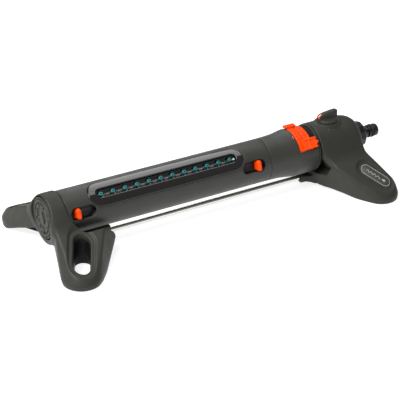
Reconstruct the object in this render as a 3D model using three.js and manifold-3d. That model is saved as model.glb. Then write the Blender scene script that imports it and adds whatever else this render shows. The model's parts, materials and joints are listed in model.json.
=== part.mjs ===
// Oscillating garden sprinkler, in millimetres, +Z up.
// The spray tube lies along X, with the hose inlet at +X, and swings about its own axis.
// The origin is on the ground, under the middle of the whole sprinkler.
import * as THREE from 'three';
import { ConvexGeometry } from 'three/addons/geometries/ConvexGeometry.js';
import { mergeVertices } from 'three/addons/utils/BufferGeometryUtils.js';
import Module from 'manifold-3d';

const wasm = await Module();
wasm.setup();

// ---------- driving dimensions ----------
const AXIS_Z = 47; // height of the tube axis above the ground
const TUBE_R = 26.5;
const HOUSING_R = 29.8;
const WALL = 2.2;
const GAP = 0.3; // clearance between neighbouring pieces
const ROUND = 32; // facets round the large turned pieces
const SMALL = 16; // and round the small ones
const REST_TILT = 35; // degrees that the nozzles lean towards -Y at rest

const HUB = { x0: -225, x1: -204.2, r: 27.9, capR: 24.6 };
const SHELL = { x0: -203.8, x1: 65.85 };
const ADAPTER = { x0: 66.15, shoulder: 105.7, x1: 126, seatR: 27.9, bore: 24.2 };
// A sleeve on the adapter covers the stop rings, apart from a window at the top. The window's edges
// are in degrees from the nozzle line, plus towards -Y.
const SLEEVE = { x1: 132.4, inner: 29.2, from: -115, to: 32 };
const RING = { aX: 106, bX: 115.8, width: 9.4, inner: 28.2, outer: 28.9, rib: 29.8, tabA: -50, tabB: 17 };
const HOUSING = { x0: 136.4, x1: 202, bore: 27, dome: 186 };
const ROW = { middle: -71, count: 12, pitch: 15.2, fan: 10 }; // nozzle row; fan is in degrees
const NOZZLE = { pivot: 13.2, tip: 24.6, ballR: 3, stemR: 2, tipR: 2.7 };
const BEZEL = { length: 204.5, width: 30.6, slotLength: 185, slotWidth: 11.4 };
const SLIDER = { offset: 113, angle: 38, length: 32, width: 15, knob: 119.5 };
const KNOB = { x: 162, r: 13, z: 77.1, top: 90 };
const BAR = { x0: -196, x1: 158, r: 3.4, z: 8 };
const GEAR = { module: 0.65, pinion: 10, wheel: 26, backlash: 0.22, width: 6 };
const LEG_TOP = { height: 64.5, slope: 0.55 }; // the top of a leg at the axis, and its fall outwards

// Legs are given as [x, y] for the -Y side with y counted outwards. The +Y legs reach a little further.
const REAR = { shift: -3, reach: 1.045, lift: 2.5 };
const LEFT = {
  skirt: [-213.6, 75.8], skirtR: 23.6, crown: [-213.5, 80], crownR: 16.5,
  topRoot: [[-222, 22], [-205, 22], [-214, 52]],
  ridge: [[-166, 40], [-172, 48.7], [-183.6, 67.5]],
  flank: [[-142, 24, 14], [-148, 33, 18], [-165, 54, 8], [-187, 80, 0]],
  floor: [[-222, 0], [-222, 30], [-231, 62], [-142, 0], [-142, 20]],
  slot: [[-203.8, 57.7], [-214.2, 77.1]], slotWidth: 19.5, margin: 5.6,
};
const RIGHT = {
  skirt: [190, 78.8], skirtR: 22.3, crown: [190, 79.5], crownR: 19,
  topRoot: [[190, 22], [140, 22], [195, 44]],
  ridge: [[145, 50], [158.6, 68]],
  flank: [[137.2, 24, 16], [142.4, 26, 3], [152, 44, 3], [164, 74, 0]],
  floor: [[192, 0], [195, 30], [203, 56], [137.2, 0], [137.2, 20]],
  slot: [[181.5, 60.5], [195, 79]], slotWidth: 15.6, margin: 4.4,
};

// ---------- colours ----------
const FINISH = {
  body: [0x484944, 0.55, 0], shell: [0x4b4c48, 0.5, 0], gloss: [0x161616, 0.15, 0],
  black: [0x1e1e1c, 0.45, 0], orange: [0xfa4b0f, 0.4, 0], teal: [0x3c827d, 0.6, 0],
  metal: [0xd0d0ce, 0.25, 1], steel: [0xb4b4b4, 0.35, 1], rubber: [0x101010, 0.8, 0],
  white: [0xe6e6e0, 0.45, 0], badge: [0x55564f, 0.4, 0],
};

// ---------- solids ----------
function toSolid(geometry) {
  const bare = geometry.clone();
  bare.deleteAttribute('normal');
  bare.deleteAttribute('uv');
  const merged = mergeVertices(bare, 1e-4);
  const place = merged.attributes.position.array;
  const count = place.length / 3;
  const corners = merged.index ? Array.from(merged.index.array) : Array.from({ length: count }, (_, i) => i);
  const keep = [];
  for (let i = 0; i < corners.length; i += 3) {
    const [a, b, c] = corners.slice(i, i + 3);
    if (a !== b && b !== c && c !== a) keep.push(a, b, c);
  }
  return new wasm.Manifold(new wasm.Mesh({
    numProp: 3,
    vertProperties: new Float32Array(place),
    triVerts: new Uint32Array(facingOut(place, keep)),
  }));
}

// Turns every face round when the closed surface encloses a negative volume.
function facingOut(place, corners) {
  const point = (i) => new THREE.Vector3().fromArray(place, 3 * i);
  let volume = 0;
  for (let i = 0; i < corners.length; i += 3) {
    const [a, b, c] = corners.slice(i, i + 3).map(point);
    volume += a.dot(b.cross(c));
  }
  if (volume > 0) return corners;
  const turned = [];
  for (let i = 0; i < corners.length; i += 3) turned.push(corners[i], corners[i + 2], corners[i + 1]);
  return turned;
}

function toGeometry(solid) {
  const mesh = solid.getMesh();
  const geometry = new THREE.BufferGeometry();
  geometry.setAttribute('position', new THREE.BufferAttribute(new Float32Array(mesh.vertProperties), 3));
  geometry.setIndex(new THREE.BufferAttribute(new Uint32Array(mesh.triVerts), 1));
  geometry.computeVertexNormals();
  return geometry;
}

const join = (...solids) => solids.reduce((all, one) => all.add(one));
const cut = (solid, ...tools) => tools.reduce((rest, tool) => rest.subtract(tool), solid);
const alongX = new THREE.Matrix4().makeBasis(
  new THREE.Vector3(0, 1, 0), new THREE.Vector3(0, 0, 1), new THREE.Vector3(1, 0, 0),
);
const alongY = new THREE.Matrix4().makeBasis(
  new THREE.Vector3(0, 0, 1), new THREE.Vector3(1, 0, 0), new THREE.Vector3(0, 1, 0),
);

// A profile of [x, r] points turned about the X axis through height z.
function turnedX(profile, z = 0, segments = 32, y = 0) {
  const points = profile.map(([x, r]) => new THREE.Vector2(r, x));
  const geometry = new THREE.LatheGeometry(points, segments);
  geometry.rotateZ(-Math.PI / 2);
  return toSolid(geometry.translate(0, y, z));
}

// A profile of [r, z] points turned about the vertical line through x, y.
function turnedZ(profile, x = 0, y = 0, segments = 24) {
  const geometry = new THREE.LatheGeometry(profile.map(([r, z]) => new THREE.Vector2(r, z)), segments);
  geometry.rotateX(Math.PI / 2);
  return toSolid(geometry.translate(x, y, 0));
}

const rodX = (x0, x1, r, z = 0, segments = 32, y = 0) =>
  turnedX([[x0, 0], [x0, r], [x1, r], [x1, 0]], z, segments, y);
const rodZ = (z0, z1, r, x = 0, y = 0, segments = 24) =>
  turnedZ([[0, z0], [r, z0], [r, z1], [0, z1]], x, y, segments);
const pipeX = (x0, x1, outer, inner, z = 0, segments = 32) =>
  turnedX([[x0, inner], [x0, outer], [x1, outer], [x1, inner], [x0, inner]], z, segments);

function extruded(shape, depth, curveSegments = 8) {
  return new THREE.ExtrudeGeometry(shape, { depth, bevelEnabled: false, curveSegments });
}

// An outline in (y, z) pushed along X; an outline in (z, x) pushed along Y; one in (x, y) pushed up.
const pushX = (shape, x0, x1, curve) =>
  toSolid(extruded(shape, x1 - x0, curve).applyMatrix4(alongX).translate(x0, 0, 0));
const pushY = (shape, y0, y1, curve) =>
  toSolid(extruded(shape, y1 - y0, curve).applyMatrix4(alongY).translate(0, y0, 0));
const pushZ = (shape, z0, z1, curve) => toSolid(extruded(shape, z1 - z0, curve).translate(0, 0, z0));

function box(x0, x1, y0, y1, z0, z1) {
  const geometry = new THREE.BoxGeometry(x1 - x0, y1 - y0, z1 - z0);
  return toSolid(geometry.translate((x0 + x1) / 2, (y0 + y1) / 2, (z0 + z1) / 2));
}

function polygon(points) {
  return new THREE.Shape(points.map(([u, v]) => new THREE.Vector2(u, v)));
}

// A slot outline with round ends, between two end centres.
function slotOutline([ax, ay], [bx, by], width) {
  const along = Math.atan2(by - ay, bx - ax);
  const shape = new THREE.Shape();
  shape.absarc(bx, by, width / 2, along - Math.PI / 2, along + Math.PI / 2, false);
  shape.absarc(ax, ay, width / 2, along + Math.PI / 2, along + 1.5 * Math.PI, false);
  shape.closePath();
  return shape;
}

const stadium = (x, length, width) => slotOutline(
  [x - (length - width) / 2, 0], [x + (length - width) / 2, 0], width,
);

// Points of a level circle.
function circle([x, y], r, z, count = 16) {
  return Array.from({ length: count }, (_, i) => {
    const turn = (2 * Math.PI * i) / count;
    return new THREE.Vector3(x + r * Math.cos(turn), y + r * Math.sin(turn), z);
  });
}

const hull = (points) => toSolid(new ConvexGeometry(points));

// ---------- placing ----------
const sprinkler = new THREE.Group();
sprinkler.name = 'sprinkler';
const base = new THREE.Group();
const tube = new THREE.Group();
tube.position.z = AXIS_Z;
tube.rotation.x = THREE.MathUtils.degToRad(REST_TILT);
sprinkler.add(base, tube);

function add(group, name, solid, finish) {
  const [color, roughness, metalness] = FINISH[finish];
  const material = new THREE.MeshStandardMaterial({ color, roughness, metalness });
  const mesh = new THREE.Mesh(toGeometry(solid), material);
  mesh.name = name;
  group.add(mesh);
  return mesh;
}

// ---------- feet ----------
const topAt = (y) => LEG_TOP.height - LEG_TOP.slope * Math.abs(y);
const onTop = (points, drop = 0) => points.map(({ x, y }) => new THREE.Vector3(x, y, topAt(y) - drop));

// Takes a shape made for the -Y side over to the +Y side, where it is stretched, lifted and moved.
function toRear(points) {
  return points.map(({ x, y, z }) => new THREE.Vector3(
    x + (REAR.shift * Math.max(0, -y - 20)) / 60,
    -y * REAR.reach,
    z > 1 ? z + REAR.lift * Math.min(1, -y / 60) : z,
  ));
}
const onSide = (side, points) => hull(side > 0 ? toRear(points) : points);

// One leg: a sloping flat top, a wide flank towards the middle of the sprinkler, and a round end.
function leg(foot, side) {
  const out = ([x, y, z = 0]) => new THREE.Vector3(x, -y, z);
  const centre = ([x, y]) => [x, -y];
  const wallTop = 6;
  const corners = 16;
  return onSide(side, [
    ...circle(centre(foot.skirt), foot.skirtR - 1, 0, corners),
    ...circle(centre(foot.skirt), foot.skirtR, wallTop, corners),
    ...onTop(circle(centre(foot.crown), foot.crownR, 0, corners), 1.5),
    ...onTop(circle(centre(foot.crown), foot.crownR - 2.5, 0, corners)),
    ...onTop([...foot.topRoot, ...foot.ridge].map(out)),
    ...foot.flank.map(out),
    ...foot.floor.map(out),
  ]);
}

// The arched hollow under a foot, pushed right through along X.
function arch(x0, x1, height) {
  const shape = new THREE.Shape();
  shape.moveTo(-74, -1);
  shape.quadraticCurveTo(-56, 0.75 * height, -36, height);
  shape.lineTo(36, height);
  shape.quadraticCurveTo(56, 0.75 * height, 74, -1);
  shape.closePath();
  return pushX(shape, x0, x1, 5);
}

// The trough that the tube turns in. It widens from the round of the tube to sloping banks.
function trough(xNear, xFar, xEnd, floorZ) {
  const round = Array.from({ length: 24 }, (_, i) => {
    const turn = (2 * Math.PI * i) / 24;
    return [28.2 * Math.cos(turn), AXIS_Z + 28.2 * Math.sin(turn)];
  });
  const banks = [-1, 1].flatMap((side) => [[12, floorZ], [24, floorZ + 5], [43, 42], [50, 90]]
    .map(([y, z]) => [side * y, z]));
  const at = (x) => ([y, z]) => new THREE.Vector3(x, y, z);
  return join(
    hull([...round.map(at(xNear)), ...banks.map(at(xFar))]),
    hull([...banks.map(at(xFar)), ...banks.map(at(xEnd))]),
  );
}

// The sunk border round a peg slot or a badge, which follows the sloping top.
function recess(foot, side, depth) {
  const bank = 1.6;
  const outlines = [[foot.margin + bank, -depth], [foot.margin - bank, depth]];
  return onSide(side, foot.slot.flatMap(([x, y]) => outlines.flatMap(([margin, drop]) =>
    onTop(circle([x, -y], foot.slotWidth / 2 + margin, 0), drop))));
}

const barSocket = (x0, x1, top) => join(box(x0, x1, -7, 7, 3.6, top), rodX(x0, x1, 7.2, BAR.z, SMALL));

// The slot for a ground peg, straight down through a leg.
function pegSlot(side) {
  const rims = LEFT.slot.flatMap(([x, y]) => circle([x, -y], LEFT.slotWidth / 2, 0));
  return onSide(side, rims.flatMap(({ x, y }) => [new THREE.Vector3(x, y, -5), new THREE.Vector3(x, y, 70)]));
}

function leftFoot() {
  const barrel = turnedX([
    [HUB.x0, 0], [HUB.x0, 25.6], [HUB.x0 + 1.2, 26.6], [HUB.x0 + 5, 27.6], [HUB.x0 + 9, HUB.r],
    [HUB.x1 - 1, HUB.r], [HUB.x1, TUBE_R + 0.3], [HUB.x1, 0],
  ], AXIS_Z, ROUND);
  const legs = cut(join(leg(LEFT, -1), leg(LEFT, 1)), arch(-250, -135, 14), trough(HUB.x1, -187, -130, 17.5));
  const inside = join(
    rodX(HUB.x0 - 1, -218.5, HUB.capR + GAP, AXIS_Z, ROUND),
    rodX(-230, -200, 9.4, AXIS_Z, SMALL),
    rodX(-215, HUB.x1 + 1, 24.8, AXIS_Z, ROUND),
  );
  const slots = [-1, 1].flatMap((side) => [pegSlot(side), recess(LEFT, side, 2.4)]);
  const barBore = rodX(BAR.x0 - GAP, -140, BAR.r + GAP, BAR.z, SMALL);
  const solid = join(legs, barrel, barSocket(-200, -142, 17.5));
  return cut(solid, inside, ...slots, barBore, ...screwHoles(SCREWS.left));
}

const SCREWS = { left: -160, right: 146 };

const screwHoles = (x) => [rodZ(-1, BAR.z, 1.9, x, 0, 12), rodZ(-1, 3.2, 3.8, x, 0, 16)];

function barScrew(x) {
  const tip = BAR.z + 0.9;
  return turnedZ([
    [0, 1.4], [2.6, 1.4], [3.4, 2], [3.4, 2.9], [1.55, 2.9], [1.55, tip], [0, tip],
  ], x, 0, 16);
}

function rightFoot() {
  const { x0, x1, dome } = HOUSING;
  const profile = [[x0, 0], [x0, HOUSING_R - 0.5], [x0 + 0.6, HOUSING_R], [dome, HOUSING_R]];
  const reach = x1 - dome;
  for (const turn of [20, 40, 58, 72]) {
    const angle = THREE.MathUtils.degToRad(turn);
    profile.push([dome + reach * Math.sin(angle), 17 + (HOUSING_R - 17) * Math.cos(angle)]);
  }
  profile.push([x1, 19], [x1, 0]);
  const drum = turnedX(profile, AXIS_Z, ROUND);
  const boss = turnedZ([[0, 60], [17, 60], [17, 71], [15, 75.4], [14.4, 76.2], [0, 76.2]], KNOB.x, 0, 32);
  const legs = cut(join(leg(RIGHT, -1), leg(RIGHT, 1)), arch(110, 240, 4));
  const nose = hull([
    ...circle([132, 0], 9, 3.6), ...circle([132, 0], 9, 10.5),
    ...circle([142, 0], 16, 3.6), ...circle([142, 0], 16, 13),
  ]);
  const solid = join(legs, nose, drum, boss, barSocket(124, 164, 10.5));
  const inside = join(
    rodX(x0 - 1, 184, HOUSING.bore, AXIS_Z, ROUND),
    rodX(183, 198, 18, AXIS_Z, 32),
    rodX(196, 201.2, 9, AXIS_Z, SMALL),
    rodX(201, 230, 17, AXIS_Z, ROUND),
    rodZ(60, 80, 7.4, KNOB.x, 0, 24),
  );
  const pockets = [-1, 1].map((side) => recess(RIGHT, side, 1.8));
  const barBore = rodX(120, BAR.x1 + GAP, BAR.r + GAP, BAR.z, 24);
  return cut(solid, inside, ...pockets, barBore, ...screwHoles(SCREWS.right));
}

// The badge is a thin plate in the recess, with a plain drop raised on it.
function badge(side) {
  const outline = RIGHT.slot.flatMap(([x, y]) => circle([x, -y], RIGHT.slotWidth / 2 - 0.6, 0));
  const [x, y] = RIGHT.slot[1];
  const drop = [...circle([x, -y], 3.2, 0, 14), new THREE.Vector3(x - 4.4, 6 - y, 0)];
  return join(
    onSide(side, [...onTop(outline, 1.5), ...onTop(outline, 0.6)]),
    onSide(side, [...onTop(drop, 1), ...onTop(drop)]),
  );
}

function endCap() {
  const disc = turnedX([
    [-218.8, 0], [-218.8, HUB.capR], [-224.6, HUB.capR], [-225.6, HUB.capR - 1],
    [-225.6, 20.5], [-224.4, 19.5], [-224.4, 0],
  ], AXIS_Z, ROUND);
  const ring = pipeX(-225.6, -224, 15, 13.2, AXIS_Z, ROUND);
  const drop = new THREE.Shape();
  drop.absarc(0, AXIS_Z - 3, 6.5, THREE.MathUtils.degToRad(150), THREE.MathUtils.degToRad(390), false);
  drop.lineTo(0, AXIS_Z + 10);
  drop.closePath();
  return join(disc, ring, pushX(drop, -225.6, -224, 8));
}

add(base, 'left_foot', leftFoot(), 'body');
add(base, 'right_foot', rightFoot(), 'body');
add(base, 'left_end_cap', endCap(), 'body');
add(base, 'badge_front', badge(-1), 'badge');
add(base, 'badge_rear', badge(1), 'badge');
add(base, 'left_bearing_bush', turnedX([
  [-218.6, 7.4], [-218.6, 9.1], [-213.9, 9.1], [-213.9, 11.5], [-212.7, 11.5], [-212.7, 7.4], [-218.6, 7.4],
], AXIS_Z, SMALL), 'white');
add(base, 'cross_bar', cut(
  rodX(BAR.x0, BAR.x1, BAR.r, BAR.z, 24),
  ...Object.values(SCREWS).map((x) => rodZ(0, BAR.z + 1.4, 2, x, 0, 12)),
), 'metal');
add(base, 'bar_screw_left', barScrew(SCREWS.left), 'steel');
add(base, 'bar_screw_right', barScrew(SCREWS.right), 'steel');

// ---------- inlet ----------
add(base, 'union_nut', cut(join(
  turnedX([[202.4, 0], [202.4, 15], [204, 16.2], [211.6, 16.2], [213, 15], [213, 0]], AXIS_Z, 12),
  pipeX(198.6, 203, 8.6, 6.4, AXIS_Z, SMALL),
), rodX(190, 220, 6.8, AXIS_Z, SMALL), rodX(207.4, 220, 9.2, AXIS_Z, SMALL)), 'black');
add(base, 'hose_nipple', turnedX([
  [203.5, 4.6], [203.5, 6.4], [207.8, 6.4], [207.8, 8.8], [213.2, 8.8], [214.4, 6.2], [219.4, 4.9],
  [223, 5.6], [223.4, 8.1], [226.4, 8.1], [226.8, 6.1], [230.2, 6.1], [230.5, 8], [235.9, 8],
  [237.2, 7.2], [237.2, 4.6], [203.5, 4.6],
], AXIS_Z, SMALL), 'black');
add(base, 'nipple_oring', turnedX(
  Array.from({ length: 9 }, (_, i) => {
    const turn = (Math.PI * i) / 4;
    return [228.5 + Math.cos(turn), 7.4 + Math.sin(turn)];
  }), AXIS_Z, SMALL,
), 'rubber');
add(base, 'inlet_filter', turnedX([
  [181, 0], [181, 5], [197.4, 5.6], [197.4, 8], [198.2, 8], [198.2, 4.4], [196, 4.4],
  [182.4, 3.9], [182.4, 0],
], AXIS_Z, 20), 'white');
add(base, 'inlet_washer', pipeX(198.6, 202.4, 6, 3.5, AXIS_Z, 20), 'rubber');

// ---------- drive ----------
const PLANE = { output: 90, middle: 98, input: 106 }; // left faces of the three gear planes
const centreDistance = (GEAR.module * (GEAR.pinion + GEAR.wheel)) / 2;
const idlerAt = (degrees) => {
  const turn = THREE.MathUtils.degToRad(degrees);
  return { turn, y: centreDistance * Math.cos(turn), z: centreDistance * Math.sin(turn) };
};
const IDLER_A = idlerAt(-90);
const IDLER_B = idlerAt(-30);

// Involute gear outline, tooth 0 centred at angle `turn` from +Y towards +Z.
function gearOutline(teeth, turn, y = 0, z = 0) {
  const pitchR = (GEAR.module * teeth) / 2;
  const pressure = THREE.MathUtils.degToRad(20);
  const involute = (angle) => Math.tan(angle) - angle;
  const baseR = pitchR * Math.cos(pressure);
  const atPitch = Math.PI / (2 * teeth) - GEAR.backlash / (2 * pitchR);
  const half = (r) => atPitch + involute(pressure) - involute(Math.acos(Math.min(1, baseR / r)));
  const radii = [pitchR - 1.2 * GEAR.module, pitchR + 0.8 * GEAR.module];
  const points = [];
  for (let tooth = 0; tooth < teeth; tooth += 1) {
    const centre = turn + (2 * Math.PI * tooth) / teeth;
    const at = (r, angle) => [y + r * Math.cos(angle), z + AXIS_Z + r * Math.sin(angle)];
    radii.forEach((r) => points.push(at(r, centre - half(r))));
    [...radii].reverse().forEach((r) => points.push(at(r, centre + half(r))));
  }
  return polygon(points);
}

// Where tooth 0 of a driven gear must point to mesh with its driver, seen along the line of centres.
const meshedTurn = (line, driverTurn, driverTeeth, teeth) =>
  line + Math.PI + (driverTeeth / teeth) * (line - driverTurn) + Math.PI / teeth;

// A wheel and a smaller pinion on one bore.
function idler(place, wheelX, pinionX, pinionTurn) {
  const wheel = pushX(gearOutline(GEAR.wheel, 0, place.y, place.z), wheelX, wheelX + GEAR.width);
  const pinion = pushX(
    gearOutline(GEAR.pinion, pinionTurn, place.y, place.z), pinionX, pinionX + GEAR.width + 2,
  );
  return cut(join(wheel, pinion), rodX(80, 130, 1.2, AXIS_Z + place.z, 12, place.y));
}

function turbineWheel() {
  const turn = meshedTurn(Math.PI / 2, 0, GEAR.wheel, GEAR.pinion);
  const pinion = pushX(gearOutline(GEAR.pinion, turn), PLANE.input, 113.8);
  const vanes = Array.from({ length: 12 }, (_, i) =>
    box(113.6, 118.6, 8, 18.6, -0.7, 0.7).rotate([30 * i, 0, 0]).translate([0, 0, AXIS_Z]));
  return join(
    pinion, rodX(113.6, 118.6, 9, AXIS_Z), ...vanes, pipeX(113.6, 118.6, 19.8, 18.2, AXIS_Z, 28),
    rodX(104.4, 122, 1, AXIS_Z, 10),
  );
}

function outputShaft() {
  const gear = pushX(gearOutline(GEAR.wheel, 0), PLANE.output, PLANE.output + GEAR.width);
  return join(gear, rodX(74.4, 91, 3, AXIS_Z, 20));
}

function gearboxCase() {
  const shell = turnedX([
    [82, 7.4], [82, 9.6], [86, 9.6], [86, 22.6], [132.6, 22.6], [132.6, 21.3], [88, 21.3], [88, 3.4],
    [86, 3.4], [86, 7.4], [82, 7.4],
  ], AXIS_Z, 28);
  const window = box(127.4, 131.4, -9, 9, AXIS_Z - 24, AXIS_Z - 15);
  const pinHoles = [IDLER_A, IDLER_B].map(({ y, z }) => rodX(86.7, 89, 1.1, AXIS_Z + z, 10, y));
  return cut(shell, window, ...pinHoles);
}

function grooveCollar() {
  const ring = turnedX([
    [126.6, 25.6], [126.6, 28], [132.4, 28], [132.4, 26.7], [150, 26.7], [150, 25.2], [133, 25.2],
    [133, 23.2], [131.6, 23.2], [131.6, 25.6], [126.6, 25.6],
  ], AXIS_Z, ROUND);
  return cut(ring, box(127.4, 131.4, -10, 10, AXIS_Z - 30, AXIS_Z - 20));
}

function stator() {
  const ports = Array.from({ length: 6 }, (_, i) => {
    const turn = (Math.PI * i) / 3;
    return rodX(119, 124, 1.8, AXIS_Z + 15.5 * Math.sin(turn), 10, 15.5 * Math.cos(turn));
  });
  return cut(rodX(120, 122.6, 21, AXIS_Z, 28), ...ports, rodX(119, 124, 1.3, AXIS_Z, 12));
}

// The gate turns in front of the stator and sends the water one way or the other round.
function reversingGate() {
  const plate = cut(
    rodX(123.4, 125.4, 20.6, AXIS_Z, 28),
    ...Array.from({ length: 3 }, (_, i) => rodX(122, 127, 3.4, AXIS_Z, 12, 15.5)
      .translate([0, 0, -AXIS_Z]).rotate([120 * i + 30, 0, 0]).translate([0, 0, AXIS_Z])),
  );
  const finger = box(128.2, 130.6, -1.6, 1.6, AXIS_Z - 27.2, AXIS_Z - 4);
  return join(plate, rodX(125, 130.6, 5, AXIS_Z, 20), finger);
}

const pinAt = ({ y, z }) => rodX(87, 112.8, 0.9, AXIS_Z + z, 10, y);

add(base, 'groove_collar', grooveCollar(), 'black');
add(base, 'rim_ring', pipeX(132.8, 136.1, 29.6, 27.1, AXIS_Z, ROUND), 'body');
add(base, 'gearbox_case', gearboxCase(), 'black');
add(base, 'bearing_ring', pipeX(112, 124, 23.9, 22.9, AXIS_Z, 28), 'white');
add(base, 'gear_pin_a', pinAt(IDLER_A), 'steel');
add(base, 'gear_pin_b', pinAt(IDLER_B), 'steel');
add(base, 'turbine_stator', stator(), 'white');
add(base, 'output_seal', pipeX(82.3, 85.7, 7.1, 3.3, AXIS_Z, SMALL), 'rubber');
add(base, 'output_shaft', outputShaft(), 'white');
const pinionB = meshedTurn(IDLER_B.turn, 0, GEAR.wheel, GEAR.pinion);
const lineBToA = Math.atan2(IDLER_A.z - IDLER_B.z, IDLER_A.y - IDLER_B.y);
const pinionA = meshedTurn(lineBToA, 0, GEAR.wheel, GEAR.pinion);
add(base, 'idler_gear_b', idler(IDLER_B, PLANE.middle, PLANE.output, pinionB), 'white');
add(base, 'idler_gear_a', idler(IDLER_A, PLANE.input, PLANE.middle, pinionA), 'white');
add(base, 'turbine_wheel', turbineWheel(), 'orange');
add(base, 'reversing_gate', reversingGate(), 'black');

// ---------- flow control ----------
function flowKnob() {
  const { x, z, r, top } = KNOB;
  const disc = turnedZ([[0, z], [r, z], [r, z + 1.6], [r - 1.4, z + 3.4], [0, z + 3.4]], x, 0, 36);
  const grip = finOutline();
  const fin = pushY(grip, -3.5, 3.5);
  const stem = rodZ(60, z + 1, 3.4, x, 0, 16);
  return cut(join(disc, fin, stem), box(x - 17, x - 7.8, -2.2, 2.2, z + 3.8, top + 2));
}

// The knob's upright grip, seen from the side, as (z, x) points.
function finOutline() {
  const { x, z, top } = KNOB;
  return polygon([
    [z + 1, x - 12.4], [z + 7, x - 13.6], [top - 4, x - 11], [top - 2, x - 5], [top, x + 9],
    [top - 0.6, x + 13], [z + 1, x + 13.2],
  ]);
}

add(base, 'flow_knob', flowKnob(), 'body');
add(base, 'knob_pointer', pushY(finOutline(), -1.9, 1.9).intersect(
  box(KNOB.x - 17, KNOB.x - 8.1, -3, 3, KNOB.z + 4.1, KNOB.top + 2),
), 'orange');
add(base, 'valve_sleeve', cut(
  rodZ(34, 75.8, 7.1, KNOB.x), rodZ(36, 80, 5, KNOB.x), rodX(150, 175, 3.2, AXIS_Z, 12),
), 'black');
add(base, 'valve_spool', cut(
  turnedZ([
    [0, 37], [4.7, 37], [4.7, 53.5], [3.6, 53.5], [3.6, 55.5], [4.7, 55.5], [4.7, 59.7], [0, 59.7],
  ], KNOB.x, 0, 20),
  rodX(150, 175, 2.8, AXIS_Z, 12),
), 'white');
add(base, 'spool_oring', turnedZ([
  [3.9, 53.8], [4.8, 53.8], [4.8, 55.2], [3.9, 55.2], [3.9, 53.8],
], KNOB.x, 0, 20), 'rubber');

// ---------- spray tube ----------
const window = (x, length, width) => pushZ(stadium(x, length, width), 5, 40, 8);
const lean = (solid, degrees) => solid.rotate([degrees, 0, 0]);

function tubeShell() {
  const shell = pipeX(SHELL.x0, SHELL.x1, TUBE_R, TUBE_R - WALL, 0, ROUND);
  const pockets = [-1, 1].map((side) =>
    lean(window(ROW.middle + side * SLIDER.offset, SLIDER.length, SLIDER.width), SLIDER.angle));
  return cut(shell, window(ROW.middle, BEZEL.length + 2 * GAP, BEZEL.width + 2 * GAP), ...pockets);
}

function nozzleBezel() {
  const skin = pipeX(ROW.middle - 110, ROW.middle + 110, TUBE_R + 0.2, TUBE_R - WALL, 0, ROUND);
  return cut(
    skin.intersect(window(ROW.middle, BEZEL.length, BEZEL.width)),
    window(ROW.middle, BEZEL.slotLength, BEZEL.slotWidth),
  );
}

// Where each nozzle pivots, how far it leans outwards at rest, and where its tip is then.
const nozzles = Array.from({ length: ROW.count }, (_, i) => {
  const place = i - (ROW.count - 1) / 2;
  const tilt = (ROW.fan * place) / ((ROW.count - 1) / 2);
  const x = ROW.middle + place * ROW.pitch;
  const shift = (NOZZLE.tip - NOZZLE.pivot) * Math.tan(THREE.MathUtils.degToRad(tilt));
  return { x, tilt, shift };
});

function nozzleCradle() {
  const length = BEZEL.slotLength - 2 * GAP;
  const width = BEZEL.slotWidth - 2 * GAP;
  const block = cut(
    pushZ(stadium(ROW.middle, length, width), 15.3, 24, 4),
    pushZ(stadium(ROW.middle, length - 3, width - 3), 15, 22.2, 4),
  );
  const cups = nozzles.map(({ x, shift }) =>
    turnedZ([[0, 21], [4.1, 21], [4.8, 25], [0, 25]], x + shift / 2, 0, 12));
  return cut(block, ...cups);
}

function nozzleManifold() {
  const bar = pushZ(stadium(ROW.middle, BEZEL.slotLength, BEZEL.slotWidth - 0.6), 4, 15, 6);
  const pipe = rodX(-183, 71, 8.6, 0, SMALL);
  const bores = nozzles.map(({ x }) => rodZ(0, 16, NOZZLE.ballR + 0.5, x, 0, 8));
  return cut(join(bar, pipe), rodX(-184, 72, 6.8, 0, SMALL), ...bores);
}

function nozzle() {
  const reach = NOZZLE.tip - NOZZLE.pivot;
  const { ballR, stemR, tipR } = NOZZLE;
  return turnedZ([
    [0, -ballR], [ballR * 0.8, -ballR * 0.6], [ballR, 0], [ballR * 0.7, ballR * 0.7],
    [stemR, reach - 3], [tipR, reach - 2.2], [tipR - 0.6, reach], [0.6, reach],
    [0.6, reach - 1.6], [0, reach - 1.6],
  ], 0, 0, 8);
}

// A wedge about the X axis between two angles, given in degrees from the nozzle line.
function sector(x0, x1, from, to) {
  const reach = 40;
  const steps = Math.ceil((to - from) / 20);
  const arc = Array.from({ length: steps + 1 }, (_, i) => {
    const angle = THREE.MathUtils.degToRad(from + ((to - from) * i) / steps);
    return [-reach * Math.sin(angle), reach * Math.cos(angle)];
  });
  return pushX(polygon([[0, 0], ...arc]), x0, x1);
}

function adapter() {
  const { x0, shoulder, x1, seatR, bore } = ADAPTER;
  const { from, to, inner } = SLEEVE;
  const cone = turnedX([
    [x0, bore], [x0, TUBE_R], [x0 + 12, TUBE_R + 0.3], [x0 + 22, TUBE_R + 1.1], [x0 + 32, TUBE_R + 2.5],
    [shoulder, HOUSING_R], [shoulder, seatR], [x1, seatR], [x1, bore], [x0, bore],
  ], 0, ROUND);
  const sleeve = pipeX(shoulder - 1, SLEEVE.x1, HOUSING_R, inner, 0, ROUND);
  return join(cone, cut(sleeve, sector(shoulder, SLEEVE.x1 + 1, from, to)));
}

function driveDisc() {
  const disc = turnedX([
    [64, 9.2], [64, 11.4], [73, 11.4], [73, 23.9], [78, 23.9], [78, 0], [74, 0], [74, 9.2], [64, 9.2],
  ], 0, 28);
  const ports = Array.from({ length: 6 }, (_, i) =>
    rodX(70, 80, 1.5, 0, 10, 6.2).rotate([60 * i, 0, 0]));
  return cut(disc, ...ports, rodX(74.1, 80, 3.3, 0, 20));
}

const endJournal = () => turnedX([
  [-218.4, 0], [-218.4, 7.1], [-207.5, 7.1], [-207.5, 23.9], [-202.2, 23.9], [-202.2, 22], [-205, 22],
  [-205, 6.4], [-176, 6.4], [-176, 0],
], 0, 28);

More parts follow.
